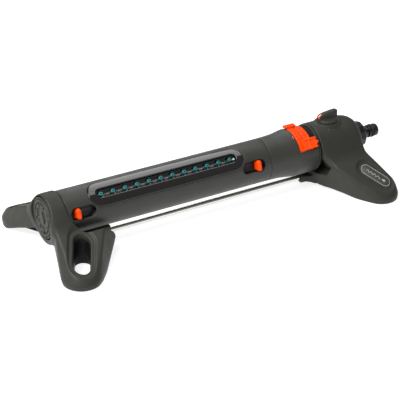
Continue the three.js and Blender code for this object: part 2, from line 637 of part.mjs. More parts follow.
function sliderPocket(side) {
  const x = ROW.middle + side * SLIDER.offset;
  const { length, width } = SLIDER;
  const tray = cut(
    pushZ(stadium(x, length + 2.6, width + 2.6), 17.5, 22.2, 5),
    pushZ(stadium(x, length, width), 19, 30, 5),
    box(...(side < 0 ? [x, x + 20] : [x - 20, x]), -1.7, 1.7, 19, 30),
  );
  return lean(tray, SLIDER.angle);
}

// Thumb knob, foot and the long rail that tilts the nozzles on its side.
function widthSlider(side) {
  const knobX = ROW.middle + side * SLIDER.knob;
  const inward = -side;
  const span = (a, b) => [knobX + inward * a, knobX + inward * b].sort((p, q) => p - q);
  const knob = pushZ(slotOutline([knobX, -4], [knobX, 4], 5), 19.6, 28.6, 6);
  const foot = box(...span(-5, 3.4), -5, 5, 19.4, 20.8);
  const rail = box(...span(0, 98), -1.2, 1.2, 19.4, 21.2);
  return lean(join(knob, foot, rail), SLIDER.angle);
}

// A ring with raised ribs every 7.5 degrees, for the fingers, between two angles.
function ribbedRing(x, from, to) {
  const { width, inner, outer, rib } = RING;
  const ribs = [];
  for (let angle = from; angle <= to; angle += 7.5) {
    ribs.push(lean(box(x + 1, x + width - 1, -0.8, 0.8, inner + 0.2, rib), angle));
  }
  return join(pipeX(x, x + width, outer, inner, 0, ROUND), ...ribs);
}

function rangeStopA() {
  const tab = join(box(106, 115.4, -3.2, 3.2, 28.4, 33.6), box(103, 117.5, -3.2, 3.2, 30.5, 33.6));
  return join(ribbedRing(RING.aX, -42.5, 2.5), lean(tab, RING.tabA));
}

function rangeStopB() {
  const tab = join(box(115.8, 125.2, -6.8, 6.8, 28.2, 33.4), box(111, 130, -6.8, 6.8, 30.5, 33.4));
  const point = pushZ(polygon([[129, -3.4], [133, 0], [129, 3.4]]), 30.5, 33.4);
  return join(ribbedRing(RING.bX, -50, -5), lean(join(tab, point), RING.tabB));
}

add(tube, 'tube_shell', tubeShell(), 'shell');
add(tube, 'tube_adapter', adapter(), 'shell');
add(tube, 'nozzle_bezel', nozzleBezel(), 'gloss');
add(tube, 'nozzle_cradle', nozzleCradle(), 'gloss');
add(tube, 'nozzle_manifold', nozzleManifold(), 'black');
add(tube, 'manifold_oring', pipeX(66, 68, 9.1, 8.7, 0, SMALL), 'rubber');
add(tube, 'end_journal', endJournal(), 'black');
add(tube, 'drive_disc', driveDisc(), 'black');
add(tube, 'slider_pocket_left', sliderPocket(-1), 'black');
add(tube, 'slider_pocket_right', sliderPocket(1), 'black');
add(tube, 'width_slider_left', widthSlider(-1), 'orange');
add(tube, 'width_slider_right', widthSlider(1), 'orange');
add(tube, 'range_stop_a', rangeStopA(), 'orange');
add(tube, 'range_stop_b', rangeStopB(), 'orange');
nozzles.forEach(({ x, tilt }, i) => {
  const mesh = add(tube, `nozzle_${String(i + 1).padStart(2, '0')}`, nozzle(), 'teal');
  mesh.position.set(x, 0, NOZZLE.pivot);
  mesh.rotation.y = THREE.MathUtils.degToRad(tilt);
});

export default sprinkler;
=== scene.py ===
"""Looks for the oscillating garden sprinkler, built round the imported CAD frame."""
import json
import math

import bmesh
import bpy
import numpy as np
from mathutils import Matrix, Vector, geometry


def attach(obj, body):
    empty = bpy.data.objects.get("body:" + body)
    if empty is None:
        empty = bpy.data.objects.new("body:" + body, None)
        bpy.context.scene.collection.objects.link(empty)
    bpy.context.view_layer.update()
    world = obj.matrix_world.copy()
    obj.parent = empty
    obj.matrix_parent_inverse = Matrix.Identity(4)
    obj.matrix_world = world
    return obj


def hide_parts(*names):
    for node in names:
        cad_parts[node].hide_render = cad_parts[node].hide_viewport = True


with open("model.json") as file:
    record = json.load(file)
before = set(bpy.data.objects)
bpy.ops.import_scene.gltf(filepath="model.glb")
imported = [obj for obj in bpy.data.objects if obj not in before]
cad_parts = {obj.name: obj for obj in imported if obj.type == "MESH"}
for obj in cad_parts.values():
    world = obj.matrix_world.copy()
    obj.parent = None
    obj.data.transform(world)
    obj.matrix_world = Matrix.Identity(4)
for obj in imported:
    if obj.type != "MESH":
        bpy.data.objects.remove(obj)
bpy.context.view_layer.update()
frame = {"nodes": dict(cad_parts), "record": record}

MM = 0.001
AXIS = 47.0        # height of the tube axis, mm
TILT = 35.0        # rest lean of the nozzle line towards -Y, degrees
TUBE_R = 26.5
ROW_MIDDLE = -71.0  # middle of the nozzle row along X

# ---------------------------------------------------------------- materials


def nodes_of(name):
    mat = bpy.data.materials.new(name)
    mat.use_nodes = True
    tree = mat.node_tree
    shader = tree.nodes["Principled BSDF"]
    return mat, tree, shader


def noise(tree, coords, scale, detail=3.0, roughness=0.5):
    node = tree.nodes.new("ShaderNodeTexNoise")
    node.inputs["Scale"].default_value = scale
    node.inputs["Detail"].default_value = detail
    node.inputs["Roughness"].default_value = roughness
    tree.links.new(coords, node.inputs["Vector"])
    return node.outputs["Fac"]


def ramp(tree, fac, stops):
    node = tree.nodes.new("ShaderNodeValToRGB")
    points = node.color_ramp.elements
    while len(points) < len(stops):
        points.new(0.5)
    for point, (place, value) in zip(points, stops):
        point.position = place
        point.color = value if len(value) == 4 else (*value, 1)
    tree.links.new(fac, node.inputs["Fac"])
    return node.outputs["Color"]


def grey(value):
    return (value, value, value, 1)


def mix(tree, fac, a, b, kind="MIX"):
    node = tree.nodes.new("ShaderNodeMix")
    node.data_type = "RGBA"
    node.blend_type = kind
    for socket, value in ((node.inputs["Factor"], fac), (node.inputs[6], a), (node.inputs[7], b)):
        if isinstance(value, bpy.types.NodeSocket):
            tree.links.new(value, socket)
        else:
            socket.default_value = value
    return node.outputs[2]


def linear(red, green, blue):
    def one(value):
        value /= 255
        return value / 12.92 if value <= 0.04045 else ((value + 0.055) / 1.055) ** 2.4
    return (one(red), one(green), one(blue), 1)


def moulded(name, colour, rough, grain=0.25, grain_scale=2600, variation=0.1, wear=0.25,
            spread=0.06, coat=0.0, metal=0.0, stretch=(1, 1, 1), specular=0.5):
    """Moulded plastic, rubber or metal: cloudy colour, worn edges, uneven gloss and a fine grain."""
    mat, tree, shader = nodes_of(name)
    place = tree.nodes.new("ShaderNodeTexCoord")
    mapping = tree.nodes.new("ShaderNodeMapping")
    mapping.inputs["Scale"].default_value = stretch
    tree.links.new(place.outputs["Object"], mapping.inputs["Vector"])
    coords = mapping.outputs["Vector"]
    dark = tuple(c * (1 - variation) for c in colour[:3]) + (1,)
    light = tuple(min(1, c * (1 + variation)) for c in colour[:3]) + (1,)
    clouds = ramp(tree, noise(tree, coords, 45, 5), [(0.3, dark), (0.7, light)])
    specks = ramp(tree, noise(tree, coords, 900, 2), [(0.35, grey(0.93)), (0.65, grey(1.0))])
    base = mix(tree, 1.0, clouds, specks, "MULTIPLY")
    point = tree.nodes.new("ShaderNodeNewGeometry").outputs["Pointiness"]
    edge = ramp(tree, point, [(0.52, grey(0)), (0.62, grey(1))])
    scuffs = ramp(tree, noise(tree, coords, 220, 4), [(0.45, grey(0)), (0.7, grey(1))])
    worn = mix(tree, 1.0, edge, scuffs, "MULTIPLY")
    pale = tuple(min(1, c * (1 + 2.2 * wear) + 0.05 * wear) for c in colour[:3]) + (1,)
    tree.links.new(mix(tree, worn, base, pale), shader.inputs["Base Color"])
    uneven = noise(tree, coords, 110, 4)
    low, high = max(0.02, rough - spread), min(1, rough + spread)
    tree.links.new(ramp(tree, uneven, [(0.3, grey(low)), (0.7, grey(high))]), shader.inputs["Roughness"])
    if grain:
        bump = tree.nodes.new("ShaderNodeBump")
        bump.inputs["Strength"].default_value = grain
        bump.inputs["Distance"].default_value = 0.00006
        tree.links.new(noise(tree, coords, grain_scale, 2), bump.inputs["Height"])
        tree.links.new(bump.outputs["Normal"], shader.inputs["Normal"])
    shader.inputs["Metallic"].default_value = metal
    shader.inputs["Specular IOR Level"].default_value = specular
    if coat:
        shader.inputs["Coat Weight"].default_value = coat
        shader.inputs["Coat Roughness"].default_value = 0.08
    return mat


BODY = moulded("body_plastic", linear(48, 49, 44), 0.52, grain=0.35, specular=0.25)
SHELL = moulded("shell_plastic", linear(53, 54, 50), 0.42, grain=0.15, variation=0.06, specular=0.3)
GLOSS = moulded("gloss_plastic", linear(22, 20, 19), 0.08, grain=0, variation=0.05, wear=0.1, spread=0.02,
                coat=0.4)
BLACK = moulded("black_plastic", linear(17, 17, 16), 0.33, grain=0.2, specular=0.4)
# Near-black painted shade: it lines the insides of the peg slots and darkens the black groove collar.
PAINTED_SHADE_BLACK = moulded("painted_shade_black", linear(12, 12, 11), 0.5, grain=0.2, specular=0.2)
ORANGE = moulded("orange_plastic", linear(255, 72, 0), 0.4, grain=0.15, variation=0.07, wear=0.05,
                 specular=0.25)
TEAL = moulded("teal_rubber", linear(22, 100, 102), 0.45, grain=0.2, variation=0.12, wear=0.3)
ALLOY = moulded("drawn_aluminium", linear(232, 232, 228), 0.16, grain=0.12, grain_scale=900, metal=1.0,
                variation=0.04, wear=0.0, stretch=(0.04, 1, 1))
STEEL = moulded("plated_steel", linear(190, 190, 186), 0.3, grain=0.2, metal=1.0, wear=0.05)
RUBBER = moulded("seal_rubber", linear(24, 24, 24), 0.7, grain=0.4)
WHITE = moulded("white_acetal", linear(226, 226, 218), 0.4, grain=0.1, variation=0.03, wear=0.0)
PLATE = moulded("badge_plate", linear(60, 61, 57), 0.32, grain=0.1, variation=0.06)
MARK = moulded("grey_mark", linear(118, 119, 113), 0.5, grain=0.1, variation=0.05)
PRINT = moulded("pale_print", linear(158, 158, 152), 0.45, grain=0.05, variation=0.04, wear=0.0)
FINISHES = {
    "body": BODY, "shell": SHELL, "gloss": GLOSS, "black": BLACK, "orange": ORANGE, "teal": TEAL,
    "bar_metal": ALLOY, "steel": STEEL, "rubber": RUBBER, "white": WHITE, "badge": PLATE,
}
SLOT_OF = {row["node"]: row["material_slot"] for row in frame["record"]["subparts"]}
for node_name, node_object in frame["nodes"].items():
    node_object.data.materials.clear()
    node_object.data.materials.append(FINISHES[SLOT_OF[node_name]])

# ---------------------------------------------------------------- mesh helpers


def piece(name, verts, faces, body, slot, stands_for=(), material=None, sharp=None):
    """A new object in mm, smooth shaded, riding on a CAD body."""
    mesh = bpy.data.meshes.new(name)
    mesh.from_pydata((np.asarray(verts, float) * MM).tolist(), [], [list(map(int, f)) for f in faces])
    mesh.polygons.foreach_set("use_smooth", [True] * len(mesh.polygons))
    if sharp:
        mesh.set_sharp_from_angle(angle=math.radians(sharp))
    mesh.materials.append(material or FINISHES[slot])
    obj = bpy.data.objects.new(name, mesh)
    bpy.context.scene.collection.objects.link(obj)
    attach(obj, body)
    if stands_for:
        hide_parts(*stands_for)
    return obj


def turn_x(points, degrees):
    """Points turned about the X direction."""
    c, s = math.cos(math.radians(degrees)), math.sin(math.radians(degrees))
    points = np.asarray(points, float)
    x, y, z = points.T
    return np.stack([x, c * y - s * z, s * y + c * z], 1)


def on_tube(points, degrees=0.0):
    """From the tube's own frame, leaned further by degrees, to the row frame at rest."""
    return turn_x(points, TILT + degrees) + np.array([0, 0, AXIS])


def fillet(profile, radius, closed=False, steps=4):
    """Rounds the corners of a polyline of 2-D points. radius may be a list with one for each point."""
    points = [np.array(p, float) for p in profile]
    count = len(points)
    radii = radius if isinstance(radius, (list, tuple)) else [radius] * count
    out = []
    for i, here in enumerate(points):
        if not closed and i in (0, count - 1):
            out.append(here)
            continue
        before, after = points[i - 1], points[(i + 1) % count]
        a, b = before - here, after - here
        la, lb = np.linalg.norm(a), np.linalg.norm(b)
        reach = min(radii[i], 0.48 * la, 0.48 * lb)
        if reach < 1e-3:
            out.append(here)
            continue
        p, q = here + a / la * reach, here + b / lb * reach
        for k in range(steps + 1):
            t = k / steps
            out.append((1 - t) ** 2 * p + 2 * t * (1 - t) * here + t * t * q)
    return np.array(out)


def lathe(profile, segments=96, closed=False):
    """Vertices and faces of an (x, r) profile turned about the X axis."""
    verts, rings = [], []
    for x, r in profile:
        if r < 1e-6 and not closed:
            rings.append([len(verts)])
            verts.append((x, 0, 0))
        else:
            start = len(verts)
            turns = 2 * np.pi * np.arange(segments) / segments
            verts.extend(np.stack([np.full(segments, x), r * np.cos(turns), r * np.sin(turns)], 1))
            rings.append(list(range(start, start + segments)))
    faces = []
    pairs = list(zip(rings[:-1], rings[1:])) + ([(rings[-1], rings[0])] if closed else [])
    for low, high in pairs:
        for k in range(segments):
            n = (k + 1) % segments
            if len(low) == 1 and len(high) == 1:
                continue
            if len(low) == 1:
                faces.append((low[0], high[n], high[k]))
            elif len(high) == 1:
                faces.append((low[k], low[n], high[0]))
            else:
                faces.append((low[k], low[n], high[n], high[k]))
    return outward(np.array(verts), faces)


def outward(verts, faces):
    """Turns the faces round if the closed surface encloses a negative volume."""
    volume = 0.0
    for face in faces:
        a = verts[face[0]]
        for k in range(1, len(face) - 1):
            volume += np.dot(a, np.cross(verts[face[k]], verts[face[k + 1]]))
    return verts, (faces if volume > 0 else [tuple(reversed(f)) for f in faces])


def ring_faces(start, n, rows, across=True, around=False):
    """Quads between rows of n points each. across closes a row, around joins the last row to the first."""
    return [(start + r * n + k, start + r * n + (k + 1) % n,
             start + (r + 1) % rows * n + (k + 1) % n, start + (r + 1) % rows * n + k)
            for r in range(rows if around else rows - 1) for k in range(n if across else n - 1)]


def turned(name, profile, body, slot, stands_for=(), radius=0.5, closed=False, segments=96,
           material=None, centre=(0, 0, AXIS), sharp=50):
    verts, faces = lathe(fillet(profile, radius, closed), segments, closed)
    return piece(name, verts + np.array(centre), faces, body, slot, stands_for, material, sharp)


# ---------------------------------------------------------------- distance fields


class Field:
    """A grid of signed distances in mm. Negative is inside."""

    def __init__(self, low, high, step):
        self.low, self.step = np.array(low, float), step
        axes = [np.arange(a, b + step, step, dtype=np.float32) for a, b in zip(low, high)]
        self.x = axes[0][:, None, None]
        self.y = axes[1][None, :, None]
        self.z = axes[2][None, None, :]
        self.shape = tuple(len(a) for a in axes)

    def full(self, values):
        return np.broadcast_to(values, self.shape).astype(np.float32)


def smooth_min(a, b, k):
    h = np.clip(0.5 + 0.5 * (b - a) / k, 0, 1)
    return b + (a - b) * h - k * h * (1 - h)


def smooth_max(a, b, k):
    return -smooth_min(-a, -b, k)


def blurred(values, sigma):
    """A Gaussian blur, sigma in cells, which rounds every edge of a distance field."""
    reach = int(math.ceil(2.5 * sigma))
    weights = np.exp(-0.5 * (np.arange(-reach, reach + 1) / sigma) ** 2)
    weights /= weights.sum()
    for axis in range(3):
        padded = np.pad(values, [(reach, reach) if a == axis else (0, 0) for a in range(3)], mode="reflect",
                        reflect_type="odd")
        size = values.shape[axis]
        out = np.zeros_like(values)
        for k, weight in enumerate(weights):
            out += np.float32(weight) * np.take(padded, range(k, k + size), axis=axis)
        values = out
    return values


def hull_planes(points):
    """The outward planes (normal, offset) of the convex hull of some points."""
    bm = bmesh.new()
    for p in points:
        bm.verts.new(p)
    made = bmesh.ops.convex_hull(bm, input=bm.verts)
    loose = [g for g in made["geom_interior"] + made["geom_unused"] if isinstance(g, bmesh.types.BMVert)]
    bmesh.ops.delete(bm, geom=list(set(loose)), context="VERTS")
    bmesh.ops.recalc_face_normals(bm, faces=bm.faces)
    centre = np.mean([v.co[:] for v in bm.verts], axis=0)
    planes = {}
    for f in bm.faces:
        n = np.array(f.normal[:])
        d = float(np.dot(n, f.verts[0].co[:]))
        if np.dot(n, centre) > d:
            n, d = -n, -d
        planes[tuple(np.round([*n, d], 3))] = (n, d)
    bm.free()
    return list(planes.values())


def hull_field(x, y, z, points):
    out = None
    for n, d in hull_planes(points):
        side = np.float32(n[0]) * x + np.float32(n[1]) * y + np.float32(n[2]) * z - np.float32(d)
        out = side if out is None else np.maximum(out, side)
    return out


def capsule2(u, v, a, b, r):
    """2-D distance to a stadium between centres a and b."""
    ax, ay = a
    dx, dy = b[0] - ax, b[1] - ay
    t = np.clip(((u - ax) * dx + (v - ay) * dy) / (dx * dx + dy * dy), 0, 1)
    return np.sqrt((u - ax - t * dx) ** 2 + (v - ay - t * dy) ** 2) - r


def slab(values, low, high):
    return np.maximum(low - values, values - high)


def surface(field, values, relax=2):
    """Dual mesh of the zero level: vertices in mm and quads facing out."""
    inside = values < 0
    corner = [(i, j, k) for i in (0, 1) for j in (0, 1) for k in (0, 1)]
    size = [n - 1 for n in values.shape]
    count = sum(inside[i:i + size[0], j:j + size[1], k:k + size[2]].astype(np.int8) for i, j, k in corner)
    active = (count > 0) & (count < 8)
    cells = np.argwhere(active)
    index = np.full(active.shape, -1, np.int64)
    index[active] = np.arange(len(cells))
    at = {c: values[cells[:, 0] + c[0], cells[:, 1] + c[1], cells[:, 2] + c[2]] for c in corner}
    total, hits = np.zeros((len(cells), 3)), np.zeros(len(cells))
    for a in corner:
        for axis in range(3):
            if a[axis]:
                continue
            b = tuple(1 if m == axis else a[m] for m in range(3))
            fa, fb = at[a], at[b]
            cross = (fa < 0) != (fb < 0)
            t = np.where(cross, fa / np.where(cross, fa - fb, 1), 0)
            spot = np.tile(np.array(a, float), (len(cells), 1))
            spot[:, axis] += t
            total += spot * cross[:, None]
            hits += cross
    verts = cells + total / hits[:, None]
    quads = []
    for axis in range(3):
        u, v = (axis + 1) % 3, (axis + 2) % 3
        low = [slice(None)] * 3
        high = [slice(None)] * 3
        low[axis], high[axis] = slice(0, -1), slice(1, None)
        change = inside[tuple(low)] != inside[tuple(high)]
        trim = [slice(None)] * 3
        trim[u], trim[v] = slice(1, -1), slice(1, -1)
        spots = np.argwhere(change[tuple(trim)])
        spots[:, u] += 1
        spots[:, v] += 1
        leaving = inside[tuple(spots.T)]

        def cell(du, dv):
            at_cell = spots.copy()
            at_cell[:, u] -= du
            at_cell[:, v] -= dv
            return index[tuple(at_cell.T)]
        quad = np.stack([cell(1, 1), cell(0, 1), cell(0, 0), cell(1, 0)], 1)
        quads.append(np.where(leaving[:, None], quad, quad[:, ::-1]))
    quads = np.concatenate(quads)
    quads = quads[(quads >= 0).all(1)]
    ends = np.concatenate([quads[:, [0, 1]], quads[:, [1, 2]], quads[:, [2, 3]], quads[:, [3, 0]]])
    degree = np.bincount(ends.ravel(), minlength=len(verts))
    for _ in range(relax):
        near = np.stack([np.bincount(ends[:, 0], verts[ends[:, 1], m], len(verts)) +
                         np.bincount(ends[:, 1], verts[ends[:, 0], m], len(verts)) for m in range(3)], 1)
        verts = 0.4 * verts + 0.6 * near / degree[:, None]
        verts = settled(values, verts)
    return verts * field.step + field.low, quads


def sampled(values, spots):
    """Trilinear value at fractional cell positions."""
    limit = np.array(values.shape) - 1.001
    spots = np.clip(spots, 0, limit)
    base = spots.astype(int)
    part = spots - base
    out = 0
    for i in (0, 1):
        for j in (0, 1):
            for k in (0, 1):
                weight = (part[:, 0] if i else 1 - part[:, 0]) * (part[:, 1] if j else 1 - part[:, 1]) \
                    * (part[:, 2] if k else 1 - part[:, 2])
                out = out + weight * values[base[:, 0] + i, base[:, 1] + j, base[:, 2] + k]
    return out


def settled(values, spots, rounds=2):
    """Moves the points along the gradient onto the zero level."""
    for _ in range(rounds):
        here = sampled(values, spots)
        slope = np.stack([sampled(values, spots + d) - sampled(values, spots - d)
                          for d in np.eye(3) * 0.5], 1)
        step = here[:, None] * slope / np.maximum((slope ** 2).sum(1), 1e-3)[:, None]
        length = np.linalg.norm(step, axis=1, keepdims=True)
        spots = spots - step * np.minimum(1, 0.7 / np.maximum(length, 1e-9))
    return spots


def solid(name, field, values, body, slot, stands_for=(), material=None, place=None, relax=2, sharp=None):
    verts, quads = surface(field, field.full(values), relax)
    if place:
        verts = place(verts)
    return piece(name, verts, quads, body, slot, stands_for, material, sharp)


# ---------------------------------------------------------------- feet
# Legs are laid out on the -Y side with v counted outwards. The +Y legs reach a little further.
LEG_TOP, LEG_FALL = 64.5, 0.55
REAR = {"shift": -3.0, "reach": 1.045, "lift": 2.5}
LEFT = {
    "skirt": (-213.6, 75.8), "skirt_r": 23.6, "crown": (-213.5, 80), "crown_r": 16.5,
    "top_root": [(-222, 22), (-205, 22), (-214, 52)],
    "ridge": [(-166, 40), (-172, 48.7), (-183.6, 67.5)],
    "flank": [(-142, 24, 14), (-148, 33, 18), (-165, 54, 8), (-187, 80, 0)],
    "floor": [(-215, 0), (-217, 30), (-230, 62), (-142, 0), (-142, 20)],
    "slot": [(-200.0, 50.8), (-213.2, 75.2)], "slot_r": 9.75, "margin": 5.6,
}
RIGHT = {
    "skirt": (190, 78.8), "skirt_r": 22.3, "crown": (190, 79.5), "crown_r": 19,
    "top_root": [(190, 22), (140, 22), (195, 44)],
    "ridge": [(145, 50), (158.6, 68)],
    "flank": [(137.2, 24, 16), (142.4, 26, 3), (152, 44, 3), (164, 74, 0)],
    "floor": [(192, 0), (195, 30), (203, 56), (137.2, 0), (137.2, 20)],
    "slot": [(181.5, 60.5), (195, 79)], "slot_r": 7.8, "margin": 4.4,
}


def ring_points(centre, r, z=0.0, count=28):
    turns = 2 * np.pi * np.arange(count) / count
    return [(centre[0] + r * math.cos(t), centre[1] + r * math.sin(t), z) for t in turns]


def on_top(points, drop=0.0):
    return [(p[0], p[1], LEG_TOP - LEG_FALL * abs(p[1]) - drop) for p in points]


def leg_field(x, v, z, foot):
    """One leg: a sloping flat top, a flank towards the middle and a round end, run on below the ground."""
    below = -10.0
    low = [(*p[:2], 0.0) for p in foot["floor"]]
    flank = foot["flank"]
    points = (
        ring_points(foot["skirt"], foot["skirt_r"] - 1) + ring_points(foot["skirt"], foot["skirt_r"], 6)
        + ring_points(foot["skirt"], foot["skirt_r"] - 2.6, below)
        + on_top(ring_points(foot["crown"], foot["crown_r"]), 1.5)
        + on_top(ring_points(foot["crown"], foot["crown_r"] - 2.5))
        + on_top(foot["top_root"] + foot["ridge"]) + flank + low
        + [(px, pv, below) for px, pv, _ in low] + [(flank[-1][0], flank[-1][1], below)]
    )
    return hull_field(x, v, z, points)


def folded(f):
    """Front-leg coordinates of every grid point, on either side."""
    v = np.abs(f.y)
    rear = f.y > 0
    v = np.where(rear, v / REAR["reach"], v).astype(np.float32)
    x = f.x - np.where(rear, REAR["shift"] * np.maximum(0, v - 20) / 60, 0).astype(np.float32)
    rise = np.clip(f.z / 5, 0, 1)
    z = f.z - np.where(rear, REAR["lift"] * np.minimum(1, v / 60), 0).astype(np.float32) * rise
    return x, v, z


def arch_cut(v, z, heights):
    """The hollow under the legs: heights at four distances out, falling to the ground."""
    return np.interp(v, [20, 38, 54, 74], heights).astype(np.float32) - z


def sink(values, x, v, z, foot, depth):
    """Cuts the sunk border round a slot or a badge, which follows the sloping top."""
    under_top = (z + LEG_FALL * v - LEG_TOP) / math.hypot(1, LEG_FALL)
    rim = capsule2(x, v, *foot["slot"], foot["slot_r"] + foot["margin"]) - 0.66 * (under_top + depth / 2)
    return smooth_max(values, -smooth_max(rim, -(under_top + depth), 0.8), 0.9)


def rod(f, r, x0, x1, z=AXIS):
    return np.maximum(np.sqrt(f.y ** 2 + (f.z - z) ** 2) - r, slab(f.x, x0, x1))


def upright(f, r, x, z0, z1):
    return np.maximum(np.sqrt((f.x - x) ** 2 + f.y ** 2) - r, slab(f.z, z0, z1))


def carve(values, *tools, k=0.5):
    for tool in tools:
        values = smooth_max(values, -tool, k)
    return values


BAR_Z = 8


def bar_holes(f, values, x0, x1, screw_x):
    """Cuts the bore for the cross bar, and the screw hole and its countersink under it."""
    return carve(values, rod(f, 3.7, x0, x1, BAR_Z), upright(f, 1.9, screw_x, -5, BAR_Z),
                 upright(f, 3.8, screw_x, -5, 3.2))


FOOT_STEP = 0.85


def left_foot():
    """Two legs and a hub with a deeper chin, hollowed for the tube's end, the peg slots and the bar."""
    f = Field((-244, -106, -4), (-138, 110, 80), FOOT_STEP)
    x, v, z = folded(f)
    legs = blurred(f.full(leg_field(x, v, z, LEFT)), 1.5 / FOOT_STEP)
    legs = smooth_max(legs, arch_cut(v, f.z, [24, 15, 8.5, -1]), 3.0)
    out = np.sqrt(f.y ** 2 + (f.z - AXIS) ** 2)
    chin = np.clip(((AXIS - f.z) / (out + 1) - 0.25) / 0.5, 0, 1)
    barrel_r = np.interp(f.x, [-223.2, -221.5, -216, -205], [27.0, 27.6, 27.9, 27.9])
    barrel_r = barrel_r + 4.9 * chin * chin * (3 - 2 * chin)
    barrel = smooth_max(out - barrel_r.astype(np.float32), slab(f.x, -223.2, -204.3), 1.6)
    blend = np.interp(f.z, [18, 40], [4, 15]).astype(np.float32)
    values = smooth_min(legs, barrel, blend)
    banks = [(s * y, zz) for s in (-1, 1) for y, zz in [(12, 16), (25, 20.5), (44.5, 41), (51, 90)]]
    turns = 2 * np.pi * np.arange(24) / 24
    circle = [(28.0 * math.cos(t), AXIS + 28.0 * math.sin(t)) for t in turns]
    near = hull_field(f.x, f.y, f.z, [(-204.1, *p) for p in circle] + [(-187, *p) for p in banks])
    far = hull_field(f.x, f.y, f.z, [(-187, *p) for p in banks] + [(-130, *p) for p in banks])
    values = smooth_max(values, -f.full(np.minimum(near, far)), 2.0)
    values = np.maximum(values, -np.maximum(out - 27.0, -204.3 - f.x))
    block = np.maximum(np.abs(f.y) - 7, slab(f.z, 3.6, 17.3))
    socket = np.maximum(np.minimum(block, rod(f, 7.2, -210, -130, BAR_Z)), slab(f.x, -200, -142))
    values = smooth_min(values, f.full(socket), 2.0)
    values = sink(values, x, v, z, LEFT, 2.4)
    values = carve(values, capsule2(x, v, *LEFT["slot"], LEFT["slot_r"]), k=1.4)
    values = carve(values, rod(f, 25.9, -250, -220.6), rod(f, 24.9, -250, -218.5), rod(f, 9.4, -230, -200),
                   rod(f, 24.8, -215, -200))
    values = bar_holes(f, values, -196.3, -130, -160)
    values = smooth_max(values, -f.z, 0.8)
    return solid("foot_left", f, values, "base", "body", ["left_foot"])


def right_foot():
    """Two legs and a domed drum with a knob boss, a nose round the bar and a slanted edge beside the tube."""
    f = Field((118, -105, -4), (216, 110, 80), FOOT_STEP)
    x, v, z = folded(f)
    legs = blurred(f.full(leg_field(x, v, z, RIGHT)), 1.7 / FOOT_STEP)
    legs = smooth_max(legs, arch_cut(v, f.z, [4, 4, 2.4, -1]), 2.0)
    out = np.sqrt(f.y ** 2 + (f.z - AXIS) ** 2)
    dome_x = [136.4, 137.2, 176, 182, 187, 191.5, 195.5, 198.6, 200.6, 201.6, 202]
    dome_r = [29.2, 29.8, 29.8, 29.6, 29.0, 27.9, 26.1, 23.8, 21.4, 19.4, 17.6]
    drum = smooth_max(out - np.interp(f.x, dome_x, dome_r).astype(np.float32), slab(f.x, 136.4, 202), 1.0)
    values = smooth_min(legs, drum, 17)
    from_knob = np.sqrt((f.x - 162) ** 2 + f.y ** 2)
    boss = smooth_max(from_knob - 14.4, slab(f.z, 60, 76.3), 0.8)
    values = smooth_min(values, f.full(boss), 5.0)
    nose = hull_field(f.x, f.y, f.z, ring_points((132, 0), 9, 3.6) + ring_points((132, 0), 9, 10.5)
                      + ring_points((142, 0), 16, 3.6) + ring_points((142, 0), 16, 13))
    values = smooth_min(values, blurred(f.full(nose), 1.2 / FOOT_STEP), 5.0)
    values = smooth_min(values, f.full(rod(f, 7.2, 124, 164, BAR_Z)), 2.0)
    values = carve(values, np.maximum(out - 34.6, f.x - 134.2), k=1.6)
    edge = 136.3 + np.clip((44 - f.z) * 0.68, 0, 13.2)
    nose_top = 23.6 - 0.27 * (148 - f.x)
    values = carve(values, np.maximum(np.maximum(f.x - edge, nose_top - f.z), out - 42), k=0.8)
    values = carve(values, np.maximum(out - 30.6, f.x - 136.3), rod(f, 17.2, 202.1, 240), k=0.8)
    values = sink(values, x, v, z, RIGHT, 1.8)
    values = carve(values, rod(f, 27, 130, 184), rod(f, 18, 183, 198), rod(f, 9, 196, 201.3),
                   rod(f, 17, 201.2, 230), upright(f, 7.4, 162, 60, 80))
    values = bar_holes(f, values, 110, 158.3, 146)
    values = smooth_max(values, -f.z, 0.8)
    return solid("foot_right", f, values, "base", "body", ["right_foot"])


left_foot()
right_foot()

# ---------------------------------------------------------------- the turned pieces


def end_cap():
    """The hub's cap: a rim, deep grooves and a notched ring round a sunk centre."""
    f = Field((-226.4, -25.4, AXIS - 25.4), (-218.2, 25.4, AXIS + 25.4), 0.4)
    out = np.sqrt(f.y ** 2 + (f.z - AXIS) ** 2)
    turn = np.degrees(np.arctan2(f.z - AXIS, f.y))
    tooth = np.abs((turn / 45) % 1 - 0.5) * 45 * math.radians(1) * 14
    face = np.interp(out, [12.3, 12.9, 16.6, 17.2, 18.5, 19.1, 21.2, 21.8, 23.6, 24.5],
                     [-223.9, -225.4, -225.4, -223.4, -223.4, -225.0, -225.0, -223.4, -224.9, -223.9])
    notch = (tooth < 1.5) & (out > 12) & (out < 17.4)
    face = np.where(notch, -223.9, face).astype(np.float32)
    values = np.maximum(f.full(face - f.x), f.full(np.maximum(f.x + 218.8, out - 24.4)))
    return solid("end_cap", f, values, "base", "body", ["left_end_cap"])


